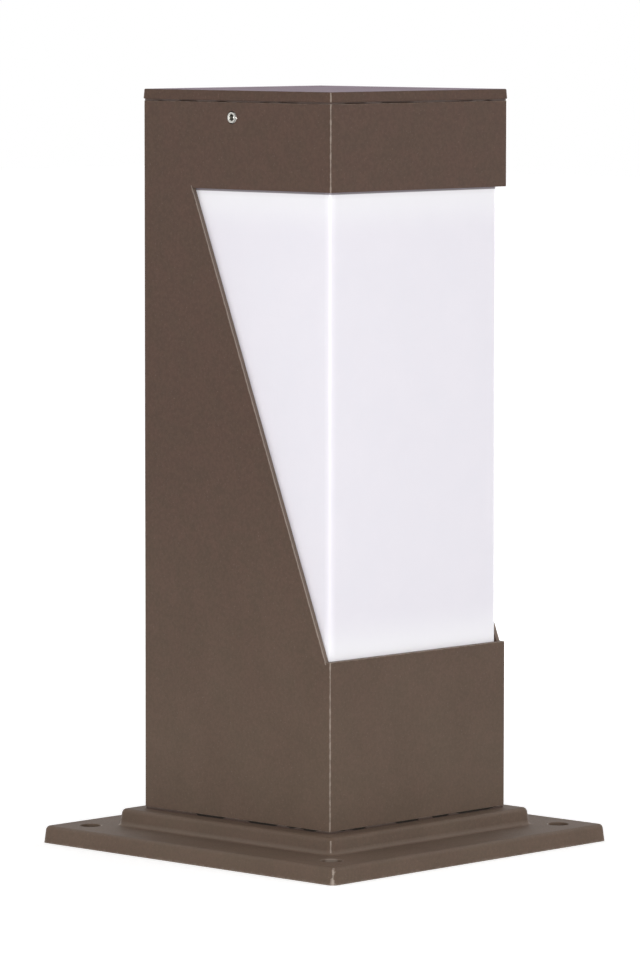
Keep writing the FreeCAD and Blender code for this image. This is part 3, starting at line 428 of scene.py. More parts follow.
def build_cut_line(tree, given):
    """Outer edge of the window's slanted cut and sill, and the cut's face across the wall."""
    place = axes(tree, given["Place"])
    run, rise = CUT_HEAD - CUT_FOOT, LINTEL - SILL
    length = math.hypot(run, rise)
    from_foot = math_node(tree, "SUBTRACT", place[1], CUT_FOOT)
    above_sill = math_node(tree, "SUBTRACT", place[2], SILL)
    along_y = math_node(tree, "MULTIPLY", from_foot, rise / length)
    along_z = math_node(tree, "MULTIPLY", above_sill, run / length)
    slanted = math_node(tree, "ABSOLUTE", math_node(tree, "SUBTRACT", along_y, along_z))
    before_sill = math_node(tree, "MAXIMUM", from_foot, 0.0)
    to_sill = math_node(tree, "ABSOLUTE", above_sill)
    level = math_node(tree, "ADD", to_sill, before_sill)
    distance = math_node(tree, "MINIMUM", slanted, level)
    between = math_node(
        tree,
        "MULTIPLY",
        math_node(tree, "GREATER_THAN", place[2], SILL - MM),
        math_node(tree, "LESS_THAN", place[2], LINTEL + MM),
    )
    widest = math_node(
        tree,
        "MAXIMUM",
        math_node(tree, "ABSOLUTE", place[0]),
        math_node(tree, "ABSOLUTE", place[1]),
    )
    skin = math_node(tree, "GREATER_THAN", widest, COLUMN_HALF - 0.45 * MM)
    where = math_node(tree, "MULTIPLY", between, skin)
    wall = math_node(tree, "GREATER_THAN", widest, COLUMN_HALF - COLUMN_WALL - 0.1 * MM)
    on_cut = math_node(tree, "MULTIPLY", math_node(tree, "LESS_THAN", slanted, 0.12 * MM), wall)
    return {
        "Line": math_node(tree, "MULTIPLY", worn(tree, given, distance), where),
        "Face": math_node(tree, "MULTIPLY", on_cut, between),
    }


def build_anchor_hole_light(tree, given):
    """Painted light on the walls of the anchor holes, fading over their rims, strongest on their inward
    side where the front light falls on the far wall.
    """
    place = axes(tree, given["Place"])
    off = [
        math_node(tree, "SUBTRACT", math_node(tree, "ABSOLUTE", place[axis]), ANCHOR_PLACE)
        for axis in (0, 1)
    ]
    squares = [math_node(tree, "MULTIPLY", value, value) for value in off]
    radius = math_node(tree, "SQRT", math_node(tree, "ADD", squares[0], squares[1]))
    hole = ramp(tree, radius, ANCHOR_RADIUS + 0.1 * MM, ANCHOR_RADIUS + 0.5 * MM, 1.0, 0.0)
    inward = math_node(tree, "DIVIDE", math_node(tree, "ADD", off[0], off[1]), radius)
    side = ramp(tree, inward, -1.38, -1.02, 1.0, 0.12)
    return {"Hole": math_node(tree, "MULTIPLY", hole, side)}


def build_root_highlight(tree, given):
    """Painted highlight on the step's root: 1 there, fading up its face and down to the plate."""
    height = axes(tree, given["Place"])[2]
    off = math_node(tree, "ABSOLUTE", math_node(tree, "SUBTRACT", height, PLATE_TOP + STEP_ROOT))
    return {"Band": ramp(tree, off, 0.3 * STEP_ROOT, STEP_ROOT, 1.0, 0.0)}


def build_dust_and_reflection(tree, given):
    """Patchy dust with a painted reflection, up to 1 where the surface faces up."""
    normal = axes(tree, given["Normal"])[2]
    patchy = noise_texture(tree, given["Place"], DUST_AND_REFLECTION_PATCHES, 3.0, 0.6)
    dust_and_reflection_share = ramp(tree, patchy, 0.3, 0.65, 0.6, 1.0)
    return {"Dust And Reflection": math_node(tree, "MULTIPLY", ramp(tree, normal, 0.86, 0.99), dust_and_reflection_share)}


def build_painted_bounce(tree, given):
    """Patchy painted light of the floor's bounce, about 1 at the ground and 0 at the given height."""
    height = axes(tree, given["Place"])[2]
    patches = noise_texture(tree, given["Place"], PAINTED_BOUNCE_PATCHES, 3.0, 0.6)
    low_down = ramp(tree, height, 0.0, PAINTED_BOUNCE_HEIGHT, 1.0, 0.0)
    return {"Bounce": math_node(tree, "MULTIPLY", low_down, ramp(tree, patches, 0.3, 0.7, 0.8, 1.1))}


def build_fine_grain(tree, given):
    """Small even grain for moulded and cast surfaces."""
    place = given["Place"]
    fine = add(tree, "ShaderNodeTexNoise", Vector=place, Scale=given["Scale"], Detail=3.0).outputs[0]
    slow = noise_texture(tree, place, SLOW_TONE)
    return {"Height": fine, "Tone": slow}


def build_scratches(tree, given):
    """Fine lines along one direction, for rolled, turned or drawn metal."""
    values = {"Vector": given["Place"], "Scale": given["Stretch"]}
    stretched = add(tree, "ShaderNodeMapping", **values).outputs[0]
    lines = noise_texture(tree, stretched, 1.0, 4.0, 0.65)
    blotch = noise_texture(tree, given["Place"], TARNISH_BLOTCHES)
    return {"Lines": lines, "Blotch": blotch}


POWDER_GRAIN = group(
    "Powder grain",
    [PLACE],
    [("Height", FLOAT), ("Speck", FLOAT), ("Mottle", FLOAT), ("Grit", FLOAT), ("Peel", FLOAT)],
    build_powder_grain,
)
EDGE_BAND = group("Edge band", [PLACE, *BLOCK, *WEAR], [("Band", FLOAT)], build_edge_band)
CORNER_WEAR_AND_HIGHLIGHT = group(
    "Corner wear and painted highlight",
    [PLACE, *BLOCK, ("Slope", FLOAT, 0.0), ("Lean", FLOAT, 0.0), ("Corner", FLOAT, 0.001), *WEAR],
    [("Line", FLOAT)],
    build_corner_wear_and_highlight,
)
CUT_LINE = group(
    "Window cut",
    [PLACE, *WEAR],
    [("Line", FLOAT), ("Face", FLOAT)],
    build_cut_line,
)
ANCHOR_HOLE_PAINTED_LIGHT = group("Anchor hole painted light", [PLACE], [("Hole", FLOAT)], build_anchor_hole_light)
ROOT_HIGHLIGHT = group("Step root painted highlight", [PLACE], [("Band", FLOAT)], build_root_highlight)
PAINTED_BOUNCE = group("Painted floor bounce", [PLACE], [("Bounce", FLOAT)], build_painted_bounce)
DUST_AND_REFLECTION_ON_TOP = group("Dust and painted reflection on top", [PLACE, ("Normal", VECTOR, None)], [("Dust And Reflection", FLOAT)], build_dust_and_reflection)
FINE_GRAIN = group(
    "Fine grain",
    [PLACE, ("Scale", FLOAT, 1500.0)],
    [("Height", FLOAT), ("Tone", FLOAT)],
    build_fine_grain,
)
SCRATCHES = group(
    "Drawn lines",
    [PLACE, ("Stretch", VECTOR, None)],
    [("Lines", FLOAT), ("Blotch", FLOAT)],
    build_scratches,
)


# ---- materials --------------------------------------------------------------------------------------
def new_material(name, **fixed):
    """Empty material with a Principled shader; returns the material, its tree and the shader."""
    material = bpy.data.materials.new(name)
    material.use_nodes = True
    tree = material.node_tree
    tree.nodes.clear()
    shader = tree.nodes.new("ShaderNodeBsdfPrincipled")
    for label, value in fixed.items():
        put(tree, shader.inputs[label.replace("_", " ")], value)
    end = tree.nodes.new("ShaderNodeOutputMaterial")
    tree.links.new(shader.outputs[0], end.inputs[0])
    return material, tree, shader


def bump(tree, shader, height, depth, strength=1.0):
    """Bump of a given depth in metres, into the shader's normal."""
    node = add(tree, "ShaderNodeBump", Height=height, Distance=depth, Strength=strength)
    tree.links.new(node.outputs[0], shader.inputs["Normal"])


def powder_coat(name, half_width, bottom, top, worn_width, dust_and_reflection=0.0, haze=0.0, gloss=0.32, lines=()):
    """Brown fine-textured powder coat, thin along the edges and along the given lines; some of these
    lines are painted highlights and painted light.

    Where it faces up it is painted paler, dust with a painted reflection of the bright surroundings,
    and the coat has a pale sheen at low angles, its haze.
    """
    material, tree, shader = new_material(name, IOR=1.45)
    put(tree, shader.inputs["Specular IOR Level"], gloss)
    place = object_place(tree)
    grain = use(tree, POWDER_GRAIN, Place=place)
    block = {"Half_Width": half_width, "Bottom": bottom, "Top": top}
    band = use(tree, EDGE_BAND, Place=place, Width=worn_width, **block)["Band"]
    tone = mix(tree, ramp(tree, grain["Mottle"], 0.38, 0.62), BROWN_GREEN, BROWN_WARM)
    colour = mix(tree, TONE_SHARE, BROWN, tone)
    fine = ramp(tree, grain["Peel"], 0.3, 0.7, 0.9, 1.1)
    scale = {"operation": "SCALE"}
    colour = add(tree, "ShaderNodeVectorMath", scale, _0=colour, Scale=fine).outputs[0]
    colour = cover(tree, colour, THIN_COAT_AND_PAINTED_LIGHT, grain["Speck"], SPECK_SHARE)
    colour = cover(tree, colour, THIN_COAT_AND_PAINTED_LIGHT, band, WORN_EDGE_SHARE)
    # Painted light of the floor's bounce, paler towards the ground.
    painted_shading = use(tree, PAINTED_BOUNCE, Place=place)["Bounce"]
    colour = cover(tree, colour, PAINTED_BOUNCE_COLOUR, painted_shading, PAINTED_BOUNCE_SHARE)
    for line_group, mask, share, values in lines:
        mask = use(tree, line_group, Place=place, **values)[mask]
        colour = cover(tree, colour, THIN_COAT_AND_PAINTED_LIGHT, mask, share)
    if dust_and_reflection:
        # Painted reflection: faces that look up are painted paler, together with some dust.
        normal = add(tree, "ShaderNodeNewGeometry").outputs["Normal"]
        dust_and_reflection_share = use(tree, DUST_AND_REFLECTION_ON_TOP, Place=place, Normal=normal)["Dust And Reflection"]
        colour = cover(tree, colour, DUST_AND_REFLECTION_TINT, dust_and_reflection_share, dust_and_reflection)
        put(tree, shader.inputs["Sheen Weight"], haze)
        put(tree, shader.inputs["Sheen Roughness"], 0.3)
        put(tree, shader.inputs["Sheen Tint"], DUST_HAZE)
    put(tree, shader.inputs["Base Color"], colour)
    put(tree, shader.inputs["Roughness"], ramp(tree, grain["Grit"], 0.25, 0.75, 0.56, 0.70))
    bump(tree, shader, grain["Height"], 0.00008, 0.6)
    return material


def opal_acrylic():
    """Opal acrylic: white all through, with painted light that makes it palest at the window's ends and
    a painted shadow right under the lintel.
    """
    material, tree, shader = new_material("opal_acrylic", IOR=1.49)
    place = object_place(tree)
    grain = use(tree, FINE_GRAIN, Place=place, Scale=OPAL_CLOUDS)
    opal_tone = mix(tree, grain["Tone"], OPAL, OPAL_LIGHTER)
    height = axes(tree, place)[2]
    # Painted light: paler towards the lintel and towards the sill.
    near_lintel = ramp(tree, height, LINTEL - OPAL_FADE, LINTEL)
    near_sill = ramp(tree, height, SILL, SILL + OPAL_FADE, 1.0, 0.0)
    pale = math_node(tree, "POWER", math_node(tree, "MAXIMUM", near_lintel, near_sill), 2.0)
    opal_tone = mix(tree, pale, opal_tone, OPAL_PAINTED_LIGHT)
    # Painted shade: a soft shadow and a dark shadow line on the opal right under the lintel.
    lintel_shade_fade = ramp(tree, height, LINTEL - 3.2 * MM, LINTEL - 0.4 * MM, 0.0, 0.09)
    line = ramp(tree, height, LINTEL - 1.05 * MM, LINTEL - 0.75 * MM, 0.0, 0.92)
    painted_shading = math_node(tree, "MAXIMUM", lintel_shade_fade, line)
    put(tree, shader.inputs["Base Color"], mix(tree, painted_shading, opal_tone, OPAL_PAINTED_SHADOW))
    put(tree, shader.inputs["Roughness"], ramp(tree, grain["Tone"], 0.2, 0.8, 0.29, 0.35))
    bump(tree, shader, grain["Height"], 0.0002, 0.12)
    return material


def moulded(name, colour, roughness, grain_scale, depth, fixed):
    """Moulded, cast or glazed surface of one colour, with a small grain and a slow change of tone."""
    material, tree, shader = new_material(name, **fixed)
    place = object_place(tree)
    grain = use(tree, FINE_GRAIN, Place=place, Scale=grain_scale)
    darker = tuple(0.86 * part for part in colour)
    lighter = tuple(min(1.06 * part, 1.0) for part in colour)
    put(tree, shader.inputs["Base Color"], mix(tree, grain["Tone"], darker, lighter))
    uneven = ramp(tree, grain["Tone"], 0.2, 0.8, 0.85 * roughness, 1.15 * roughness)
    put(tree, shader.inputs["Roughness"], uneven)
    bump(tree, shader, grain["Height"], depth, 0.5)
    return material


def drawn_metal(name, colour, roughness, stretch, tarnish):
    """Metal with fine drawn or turned lines and a little tarnish."""
    material, tree, shader = new_material(name, Metallic=1.0)
    place = object_place(tree)
    lines = use(tree, SCRATCHES, Place=place, Stretch=stretch)
    tarnished = ramp(tree, lines["Blotch"], 0.4, 0.8, 0.0, 0.5)
    uneven = ramp(tree, lines["Lines"], 0.2, 0.8, 0.8 * roughness, 1.3 * roughness)
    put(tree, shader.inputs["Base Color"], mix(tree, tarnished, colour, tarnish))
    put(tree, shader.inputs["Roughness"], uneven)
    bump(tree, shader, lines["Lines"], 0.00002, 0.35)
    return material


def earth_insulation():
    """Green wire insulation with two yellow stripes along it."""
    material, tree, shader = new_material("earth_insulation", Roughness=0.42)
    place = object_place(tree)
    side = axes(tree, add(tree, "ShaderNodeTexCoord").outputs["Normal"])[2]
    stripe = ramp(tree, math_node(tree, "ABSOLUTE", side), 0.42, 0.5)
    put(tree, shader.inputs["Base Color"], mix(tree, stripe, EARTH_GREEN, EARTH_YELLOW))
    bump(tree, shader, use(tree, FINE_GRAIN, Place=place, Scale=2500.0)["Height"], 0.00002, 0.4)
    return material


def circuit_board(name, mask, copper):
    """Solder mask over copper tracks."""
    material, tree, shader = new_material(name, IOR=1.5)
    place = object_place(tree)
    edges = {"feature": "DISTANCE_TO_EDGE"}
    cells = add(tree, "ShaderNodeTexVoronoi", edges, Vector=place, Scale=COPPER_CELLS).outputs[0]
    track = ramp(tree, cells, 0.10, 0.14, 1.0, 0.0)
    put(tree, shader.inputs["Base Color"], cover(tree, mask, copper, track, 0.45))
    put(tree, shader.inputs["Roughness"], ramp(tree, cells, 0.0, 0.4, 0.28, 0.42))
    bump(tree, shader, track, 0.00003, 0.6)
    return material


def make_materials():
    """All finishes but the powder coats, by the names of the record's slots."""
    made = {"opal_acrylic": opal_acrylic(), "earth_insulation": earth_insulation()}
    for build, table in ((drawn_metal, METALS), (moulded, MOULDED), (circuit_board, BOARDS)):
        for name, values in table.items():
            made[name] = build(name, *values)
    return made


def make_powder_coats():
    """Powder coats of the column, the cap and the base, by node."""
    # The corner lines below are worn paint and a painted highlight down the rounded corners.
    column_corner = {
        "Half_Width": COLUMN_HALF,
        "Corner": COLUMN_CORNER,
        "Bottom": COLUMN_FOOT,
        "Top": COLUMN_TOP,
        "Width": COLUMN_LINE,
    }
    cap_corner = {
        "Half_Width": CAP_HALF,
        "Slope": CAP_LEAN / CAP_PLATE,
        "Lean": CAP_LEAN,
        "Corner": CAP_CORNER,
        "Bottom": COLUMN_TOP,
        "Top": HEIGHT,
        "Width": CAP_LINE,
    }
    plate_corner = {
        "Half_Width": BASE_HALF,
        "Slope": PLATE_LEAN / PLATE_TOP,
        "Lean": PLATE_LEAN,
        "Corner": BASE_CORNER,
        "Top": PLATE_TOP,
        "Width": PLATE_LINE,
        "Ragged": 1.0,
    }
    step_slope = STEP_LEAN / (BASE_TOP - PLATE_TOP)
    step_corner = {
        "Half_Width": STEP_HALF - STEP_LINE_START * step_slope,
        "Slope": step_slope,
        "Lean": STEP_LEAN - STEP_LINE_START * step_slope,
        "Corner": BASE_CORNER,
        "Bottom": PLATE_TOP + STEP_LINE_START,
        "Top": BASE_TOP - STEP_LINE_END,
        "Width": STEP_LINE,
        "Ragged": 0.3,
    }
    return {
        "column_shell": powder_coat(
            "powder_coat_column",
            COLUMN_HALF,
            COLUMN_FOOT,
            COLUMN_TOP,
            COLUMN_BAND,
            lines=[
                (CORNER_WEAR_AND_HIGHLIGHT, "Line", 0.72, column_corner),
                (CUT_LINE, "Face", 0.22, {}),
                (CUT_LINE, "Line", 0.55, {"Width": COLUMN_LINE}),
            ],
        ),
        "top_cap": powder_coat(
            "powder_coat_cap",
            CAP_HALF,
            COLUMN_TOP,
            HEIGHT,
            CAP_LINE,
            dust_and_reflection=0.20,
            haze=0.11,
            gloss=0.27,
            lines=[(CORNER_WEAR_AND_HIGHLIGHT, "Line", 0.65, cap_corner)],
        ),
        "base_casting": powder_coat(
            "powder_coat_base",
            BASE_HALF,
            0.0,
            BASE_TOP,
            BASE_BAND,
            lines=[
                (CORNER_WEAR_AND_HIGHLIGHT, "Line", 0.95, plate_corner),
                (CORNER_WEAR_AND_HIGHLIGHT, "Line", 0.85, step_corner),
                # Painted highlight along the step's root.
                (ROOT_HIGHLIGHT, "Band", 0.075, {}),
                # Painted light on the far walls of the anchor holes.
                (ANCHOR_HOLE_PAINTED_LIGHT, "Hole", 0.4, {}),
            ],
        ),
    }


def dress_frame_nodes(materials):
    """Give each part of the frame its finish."""
    slots = {entry["node"]: entry["material_slot"] for entry in frame["record"]["subparts"]}
    coats = make_powder_coats()
    for node, piece in frame["nodes"].items():
        piece.data.materials.clear()
        piece.data.materials.append(coats[node] if node in coats else materials[slots[node]])


# ---- shapes -----------------------------------------------------------------------------------------
def skin(name, rings, material, body, close=False):
    """Piece made of rings of points, skinned in order; close joins the ends, else they are capped."""
    mesh = bpy.data.meshes.new(name)
    count = len(rings[0])
    points = [point for ring in rings for point in ring]
    faces = []
    last = len(rings) if close else len(rings) - 1
    for ring in range(last):
        following = (ring + 1) % len(rings)
        for index in range(count):
            after = (index + 1) % count
            faces.append(
                (
                    ring * count + index,
                    ring * count + after,
                    following * count + after,
                    following * count + index,
                )
            )
    if not close:
        faces.append(tuple(reversed(range(count))))
        faces.append(tuple((len(rings) - 1) * count + index for index in range(count)))
    mesh.from_pydata(points, [], faces)
    shape = bmesh.new()
    shape.from_mesh(mesh)
    bmesh.ops.recalc_face_normals(shape, faces=shape.faces)
    shape.to_mesh(mesh)
    shape.free()
    mesh.shade_smooth()
    mesh.set_sharp_from_angle(angle=SHARP_ANGLE)
    mesh.materials.append(material)
    made = bpy.data.objects.new(name, mesh)
    bpy.context.scene.collection.objects.link(made)
    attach(made, body)
    return made


def circle(radius, level, count=48, radius_at=None):
    """Level ring of points; radius_at(angle) adds to the radius."""
    points = []
    for index in range(count):
        angle = 2 * math.pi * index / count
        reach = radius + (radius_at(angle) if radius_at else 0.0)
        points.append((reach * math.cos(angle), reach * math.sin(angle), level))
    return points


def hexagon(across_flats, level):
    """Level ring of points on a hexagon with a corner on +X."""

    def reach(angle):
        off = angle % (math.pi / 3) - math.pi / 6
        return across_flats / 2 / math.cos(off)

    return circle(0.0, level, radius_at=reach)


def repeat(piece, places):
    """Copy a piece's mesh to several places, all in one mesh."""
    pattern = piece.data.copy()
    shape = bmesh.new()
    for place in places:
        copied = pattern.copy()
        copied.transform(Matrix.Translation(Vector(place)))
        shape.from_mesh(copied)
    shape.to_mesh(piece.data)
    shape.free()


def thread_rings(
    crest, root, pitch, bottom, top, count=48, steps=8, rounded=False, run_out=0.5
):
    """Rings of a right-hand thread between two levels, steps to a pitch; run_out is in pitches."""
    rings = []
    total = max(2, round((top - bottom) / pitch * steps))
    for step in range(total + 1):
        level = bottom + (top - bottom) * step / total
        ends = min(1.0, min(level - bottom, top - level) / (run_out * pitch))

        def depth(angle, level=level, ends=ends):
            phase = (level / pitch - angle / (2 * math.pi)) % 1.0
            if rounded:
                wave = 0.5 + 0.5 * math.cos(2 * math.pi * phase)
            else:
                wave = min(1.0, max(0.0, 1.75 * abs(2 * phase - 1) - 0.25))
            return (crest - root) * wave * ends

        rings.append(circle(root, level, count, depth))
    return rings


def square_path(half, corner):
    """Points round a square with rounded corners: place, outward direction, distance to a corner."""
    path = []
    for quarter in range(4):
        turn = Matrix.Rotation(math.radians(90 * quarter), 3, "Z")
        for index in range(BEAD_SIDE_STEPS):
            along = -1 + 2 * index / BEAD_SIDE_STEPS
            place = Vector((half, along * (half - corner), 0.0))
            path.append((turn @ place, turn @ Vector((1.0, 0.0, 0.0)), (1 - abs(along)) * half))
        for index in range(BEAD_CORNER_STEPS):
            angle = math.radians(90 * index / BEAD_CORNER_STEPS)
            out = Vector((math.cos(angle), math.sin(angle), 0.0))
            place = Vector((half - corner, half - corner, 0.0)) + corner * out
            path.append((turn @ place, turn @ out, 0.0))
    return path


def joint_bead(name, body, material, low, high, slot_low, slot_high, openness, seed):
    """Bead of coating that fills a joint round the column but for ragged slots above or below it."""
    rings = []
    for place, out, from_corner in square_path(COLUMN_HALF, COLUMN_CORNER):
        rough = noise.fractal(place * BEAD_ROUGHNESS + Vector((seed, 0.0, 0.0)), 0.9, 2.0, 3)
        broken = noise.noise(place * BEAD_BREAKS + Vector((0.0, seed, 0.0)))
        clear_of_corner = min(1.0, max(0.0, (from_corner - BEAD_CLEAR_FROM) / BEAD_CLEAR_OVER))
        open_share = clear_of_corner * min(1.0, max(0.0, openness + BEAD_BREAK_DEPTH * broken))
        inset = BEAD_INSET * (1 + abs(rough))
        bottom = low + slot_low * open_share
        top = high - slot_high * open_share
        middle = (bottom + top) / 2
        section = (
            (BEAD_INNER, bottom),
            (inset + BEAD_EDGE, bottom),
            (inset, middle),
            (inset + BEAD_EDGE, top),
            (BEAD_INNER, top),
        )
        rings.append(
            [tuple(place - out * depth + Vector((0.0, 0.0, level))) for depth, level in section]
        )
    return skin(name, rings, material, body, close=True)


# ---- pieces -----------------------------------------------------------------------------------------
def joint_beads():
    """Coating in the joint under the column and in the one under the cap."""
    coating = moulded("joint_coating", JOINT_COATING, 0.6, 1500.0, 0.00006, {})
    joint_bead(
        "column_foot_bead", "column", coating,
        BASE_TOP, COLUMN_FOOT, slot_low=0.0, slot_high=FOOT_SLOT, openness=1.3, seed=3.0,
    )
    joint_bead(
        "cap_joint_bead", "cap", coating,
        CAP_BEAD_LOW, CAP_BEAD_HIGH, slot_low=CAP_SLOT, slot_high=0.0, openness=0.5, seed=11.0,
    )


def stands_for(node):
    """The piece replaces a frame part: hide that part."""
    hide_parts(node)


def set_screws(material):
    """Threaded set screws with a chamfered hexagon socket, level in the column's side walls."""
    for side, node in ((-1, "cap_screw_left"), (1, "cap_screw_right")):
        low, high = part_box(node)
        length = high.x - low.x
        crest = (high.z - low.z) / 2
        root = crest - M5_THREAD_DEPTH
        thread_end = length - SET_SCREW_CHAMFER
        rings = [circle(0.6 * crest, 0.0), circle(root, 0.25 * MM)]
        rings += thread_rings(crest, root, M5_PITCH, 0.3 * MM, thread_end, run_out=0.4)
        rings += [
            circle(root, length - 0.8 * SET_SCREW_CHAMFER),
            circle(crest - 1.1 * SET_SCREW_CHAMFER, length),
            hexagon(1.1 * SOCKET_ACROSS, length),
            hexagon(SOCKET_ACROSS, length - 0.15 * MM),
            hexagon(SOCKET_ACROSS, length - SOCKET_DEPTH),
            circle(0.9 * MM, length - SOCKET_DEPTH - 0.3 * MM),
        ]
        made = skin(node + "_threaded", rings, material, node)
        turn = Matrix.Rotation(math.radians(90 * side), 4, "Y")
        inner_end = high.x if side < 0 else low.x
        start = Vector((inner_end, (low.y + high.y) / 2, (low.z + high.z) / 2))
        made.data.transform(Matrix.Translation(start) @ turn)
        stands_for(node)


def lamp_threads(material):
    """Rolled round thread of the lamp's cap, and of the sleeve that it turns in."""
    low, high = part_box("lamp_screw_cap")
    outer, inner = (
        thread_rings(
            LAMP_THREAD_CREST - inset, LAMP_THREAD_ROOT - inset, LAMP_THREAD_PITCH,
            low.z, high.z, **ROUND_THREAD,
        )
        for inset in (0.0, LAMP_CAP_WALL)
    )
    made = skin("lamp_cap_thread", outer + inner[::-1], material, "lamp", close=True)
    stands_for("lamp_screw_cap")

    low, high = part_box("lampholder_sleeve")
    crest = LAMP_THREAD_CREST + SOCKET_GAP
    root = LAMP_THREAD_ROOT + SOCKET_GAP
    outer, inner = (
        thread_rings(
            crest + thickness, root + thickness, LAMP_THREAD_PITCH,
            low.z + SLEEVE_WALL, high.z, **ROUND_THREAD,
        )
        for thickness in (SLEEVE_WALL, 0.0)
    )
    count = ROUND_THREAD["count"]
    rings = [circle(SLEEVE_OPENING, low.z, count), circle(crest + SLEEVE_WALL, low.z, count)]
    rings += outer + inner[::-1] + [circle(SLEEVE_OPENING, low.z + SLEEVE_WALL, count)]
    made = skin("lampholder_sleeve_rolled", rings, material, "column", close=True)
    stands_for("lampholder_sleeve")


def cable_gland(material):
    """Cable gland in the base, with its threads, chamfered hexagons and domed nut."""
    tail_root = GLAND_TAIL - GLAND_THREAD_DEPTH
    neck_root = GLAND_NECK - GLAND_THREAD_DEPTH
    face = 0.482 * GLAND_ACROSS
    low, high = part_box("gland_body")
    nut_low, nut_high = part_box("gland_nut")
    seat = nut_low.z - REST_GAP
    rings = [circle(GLAND_BORE, low.z), circle(tail_root, low.z)]
    rings += thread_rings(GLAND_TAIL, tail_root, GLAND_PITCH, low.z, BASE_TOP)
    rings += [
        circle(face, BASE_TOP),
        hexagon(GLAND_ACROSS, BASE_TOP + GLAND_BEVEL),
        hexagon(GLAND_ACROSS, seat - GLAND_BEVEL),
        circle(face, seat),
        circle(neck_root, seat),
    ]
    rings += thread_rings(GLAND_NECK, neck_root, GLAND_PITCH, seat, high.z)
    rings += [
        circle(GLAND_SEAL_SEAT, high.z),
        circle(GLAND_SEAL_SEAT, high.z - GLAND_SEAL_DEPTH),
        circle(GLAND_BORE, high.z - GLAND_SEAL_DEPTH),
    ]
    made = skin("gland_body_threaded", rings, material, "column", close=True)
    stands_for("gland_body")

    neck_top = high.z + 2 * THREAD_FIT
    rings = [
        circle(GLAND_NECK + THREAD_FIT, nut_low.z),
        circle(face, nut_low.z),
        hexagon(GLAND_ACROSS, nut_low.z + GLAND_BEVEL),
        hexagon(GLAND_ACROSS, nut_high.z - GLAND_DOME - GLAND_BEVEL),
        circle(face, nut_high.z - GLAND_DOME),
        circle(face - 0.5 * MM, nut_high.z - 1.2 * MM),
        circle(face - 1.4 * MM, nut_high.z - 0.3 * MM),
        circle(face - 2.3 * MM, nut_high.z),
        circle(GLAND_BORE + 0.5 * MM, nut_high.z),
        circle(GLAND_BORE, nut_high.z - 0.5 * MM),
        circle(GLAND_BORE, neck_top),
        circle(GLAND_NECK + THREAD_FIT, neck_top),
    ]
    crest, root = GLAND_NECK + THREAD_FIT, neck_root + THREAD_FIT
    rings += thread_rings(crest, root, GLAND_PITCH, nut_low.z, neck_top, run_out=0.2)[::-1]
    made = skin("gland_nut_domed", rings, material, "column", close=True)
    stands_for("gland_nut")

    low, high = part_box("gland_locknut")
    rings = [
        circle(GLAND_TAIL + THREAD_FIT, low.z),
        circle(face, low.z),
        hexagon(GLAND_ACROSS, low.z + GLAND_BEVEL),
        hexagon(GLAND_ACROSS, high.z - 0.2 * MM),
        circle(GLAND_TAIL + THREAD_FIT, high.z),
    ]
    crest, root = GLAND_TAIL + THREAD_FIT, tail_root + THREAD_FIT
    rings += thread_rings(crest, root, GLAND_PITCH, low.z, high.z, run_out=0.2)[::-1]
    made = skin("gland_locknut_threaded", rings, material, "column", close=True)
    stands_for("gland_locknut")


def pillar_places():
    """Centres of the four pillars and of the screws under them."""
    return [(x, y, 0.0) for x in (-PILLAR_X, PILLAR_X) for y in (-PILLAR_Y, PILLAR_Y)]


def column_fixings(screw_material, pillar_material):
    """Threaded hexagon head screws, and the chamfered hexagon pillars that they pull down."""
    low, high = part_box("column_screws")
    head_top = low.z + COLUMN_SCREW_HEAD
    root = COLUMN_SCREW_RADIUS - M5_THREAD_DEPTH
    rings = [
        circle(0.42 * COLUMN_SCREW_ACROSS, low.z),
        circle(0.47 * COLUMN_SCREW_ACROSS, low.z + 0.15 * MM),
        hexagon(COLUMN_SCREW_ACROSS, low.z + 0.6 * MM),
        hexagon(COLUMN_SCREW_ACROSS, head_top),
        circle(root, head_top),
    ]
    thread_end = high.z - 0.4 * MM
    rings += thread_rings(COLUMN_SCREW_RADIUS, root, M5_PITCH, head_top, thread_end, steps=6)
    rings.append(circle(root - 0.3 * MM, high.z))
    made = skin("column_screws_threaded", rings, screw_material, "column")
    repeat(made, pillar_places())
    stands_for("column_screws")

    low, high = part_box("tray_pillars")
    lower_bore = COLUMN_SCREW_RADIUS + THREAD_FIT
    rings = [
        circle(lower_bore, low.z + PILLAR_BORE_DEPTH),
        circle(lower_bore, low.z + 0.4 * MM),
        circle(lower_bore + 0.4 * MM, low.z),
        circle(0.475 * PILLAR_ACROSS, low.z),
        hexagon(PILLAR_ACROSS, low.z + 0.5 * MM),
        hexagon(PILLAR_ACROSS, high.z - 0.5 * MM),
        circle(0.475 * PILLAR_ACROSS, high.z),
        circle(TRAY_SCREW_RADIUS + 0.4 * MM, high.z),
        circle(TRAY_SCREW_RADIUS, high.z - 0.4 * MM),
        circle(TRAY_SCREW_RADIUS, high.z - PILLAR_BORE_DEPTH),
    ]
    made = skin("tray_pillars_chamfered", rings, pillar_material, "column")
    repeat(made, pillar_places())
    stands_for("tray_pillars")


def cleat_welds(material):
    """Stitches of rippled weld along the upper edge of each cleat."""
    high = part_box("foot_cleats")[1]
    rings = []
    for step in range(WELD_STEPS + 1):
        share = step / WELD_STEPS
        end = math.sqrt(max(0.0, 1 - (2 * share - 1) ** 6))
        radius = (0.5 + 0.9 * end + 0.14 * math.sin(share * WELD_RIPPLES * 2 * math.pi)) * MM
        ring = []
        for index in range(16):
            angle = 2 * math.pi * index / 16
            along = (share - 0.5) * WELD_LENGTH
            ring.append((radius * math.cos(angle), along, radius * math.sin(angle)))
        rings.append(ring)
    made = skin("cleat_welds", rings, material, "column")
    across = high.x - WELD_OFF_WALL
    repeat(made, [(side * across, y, high.z) for side in (-1, 1) for y in WELD_PLACES])


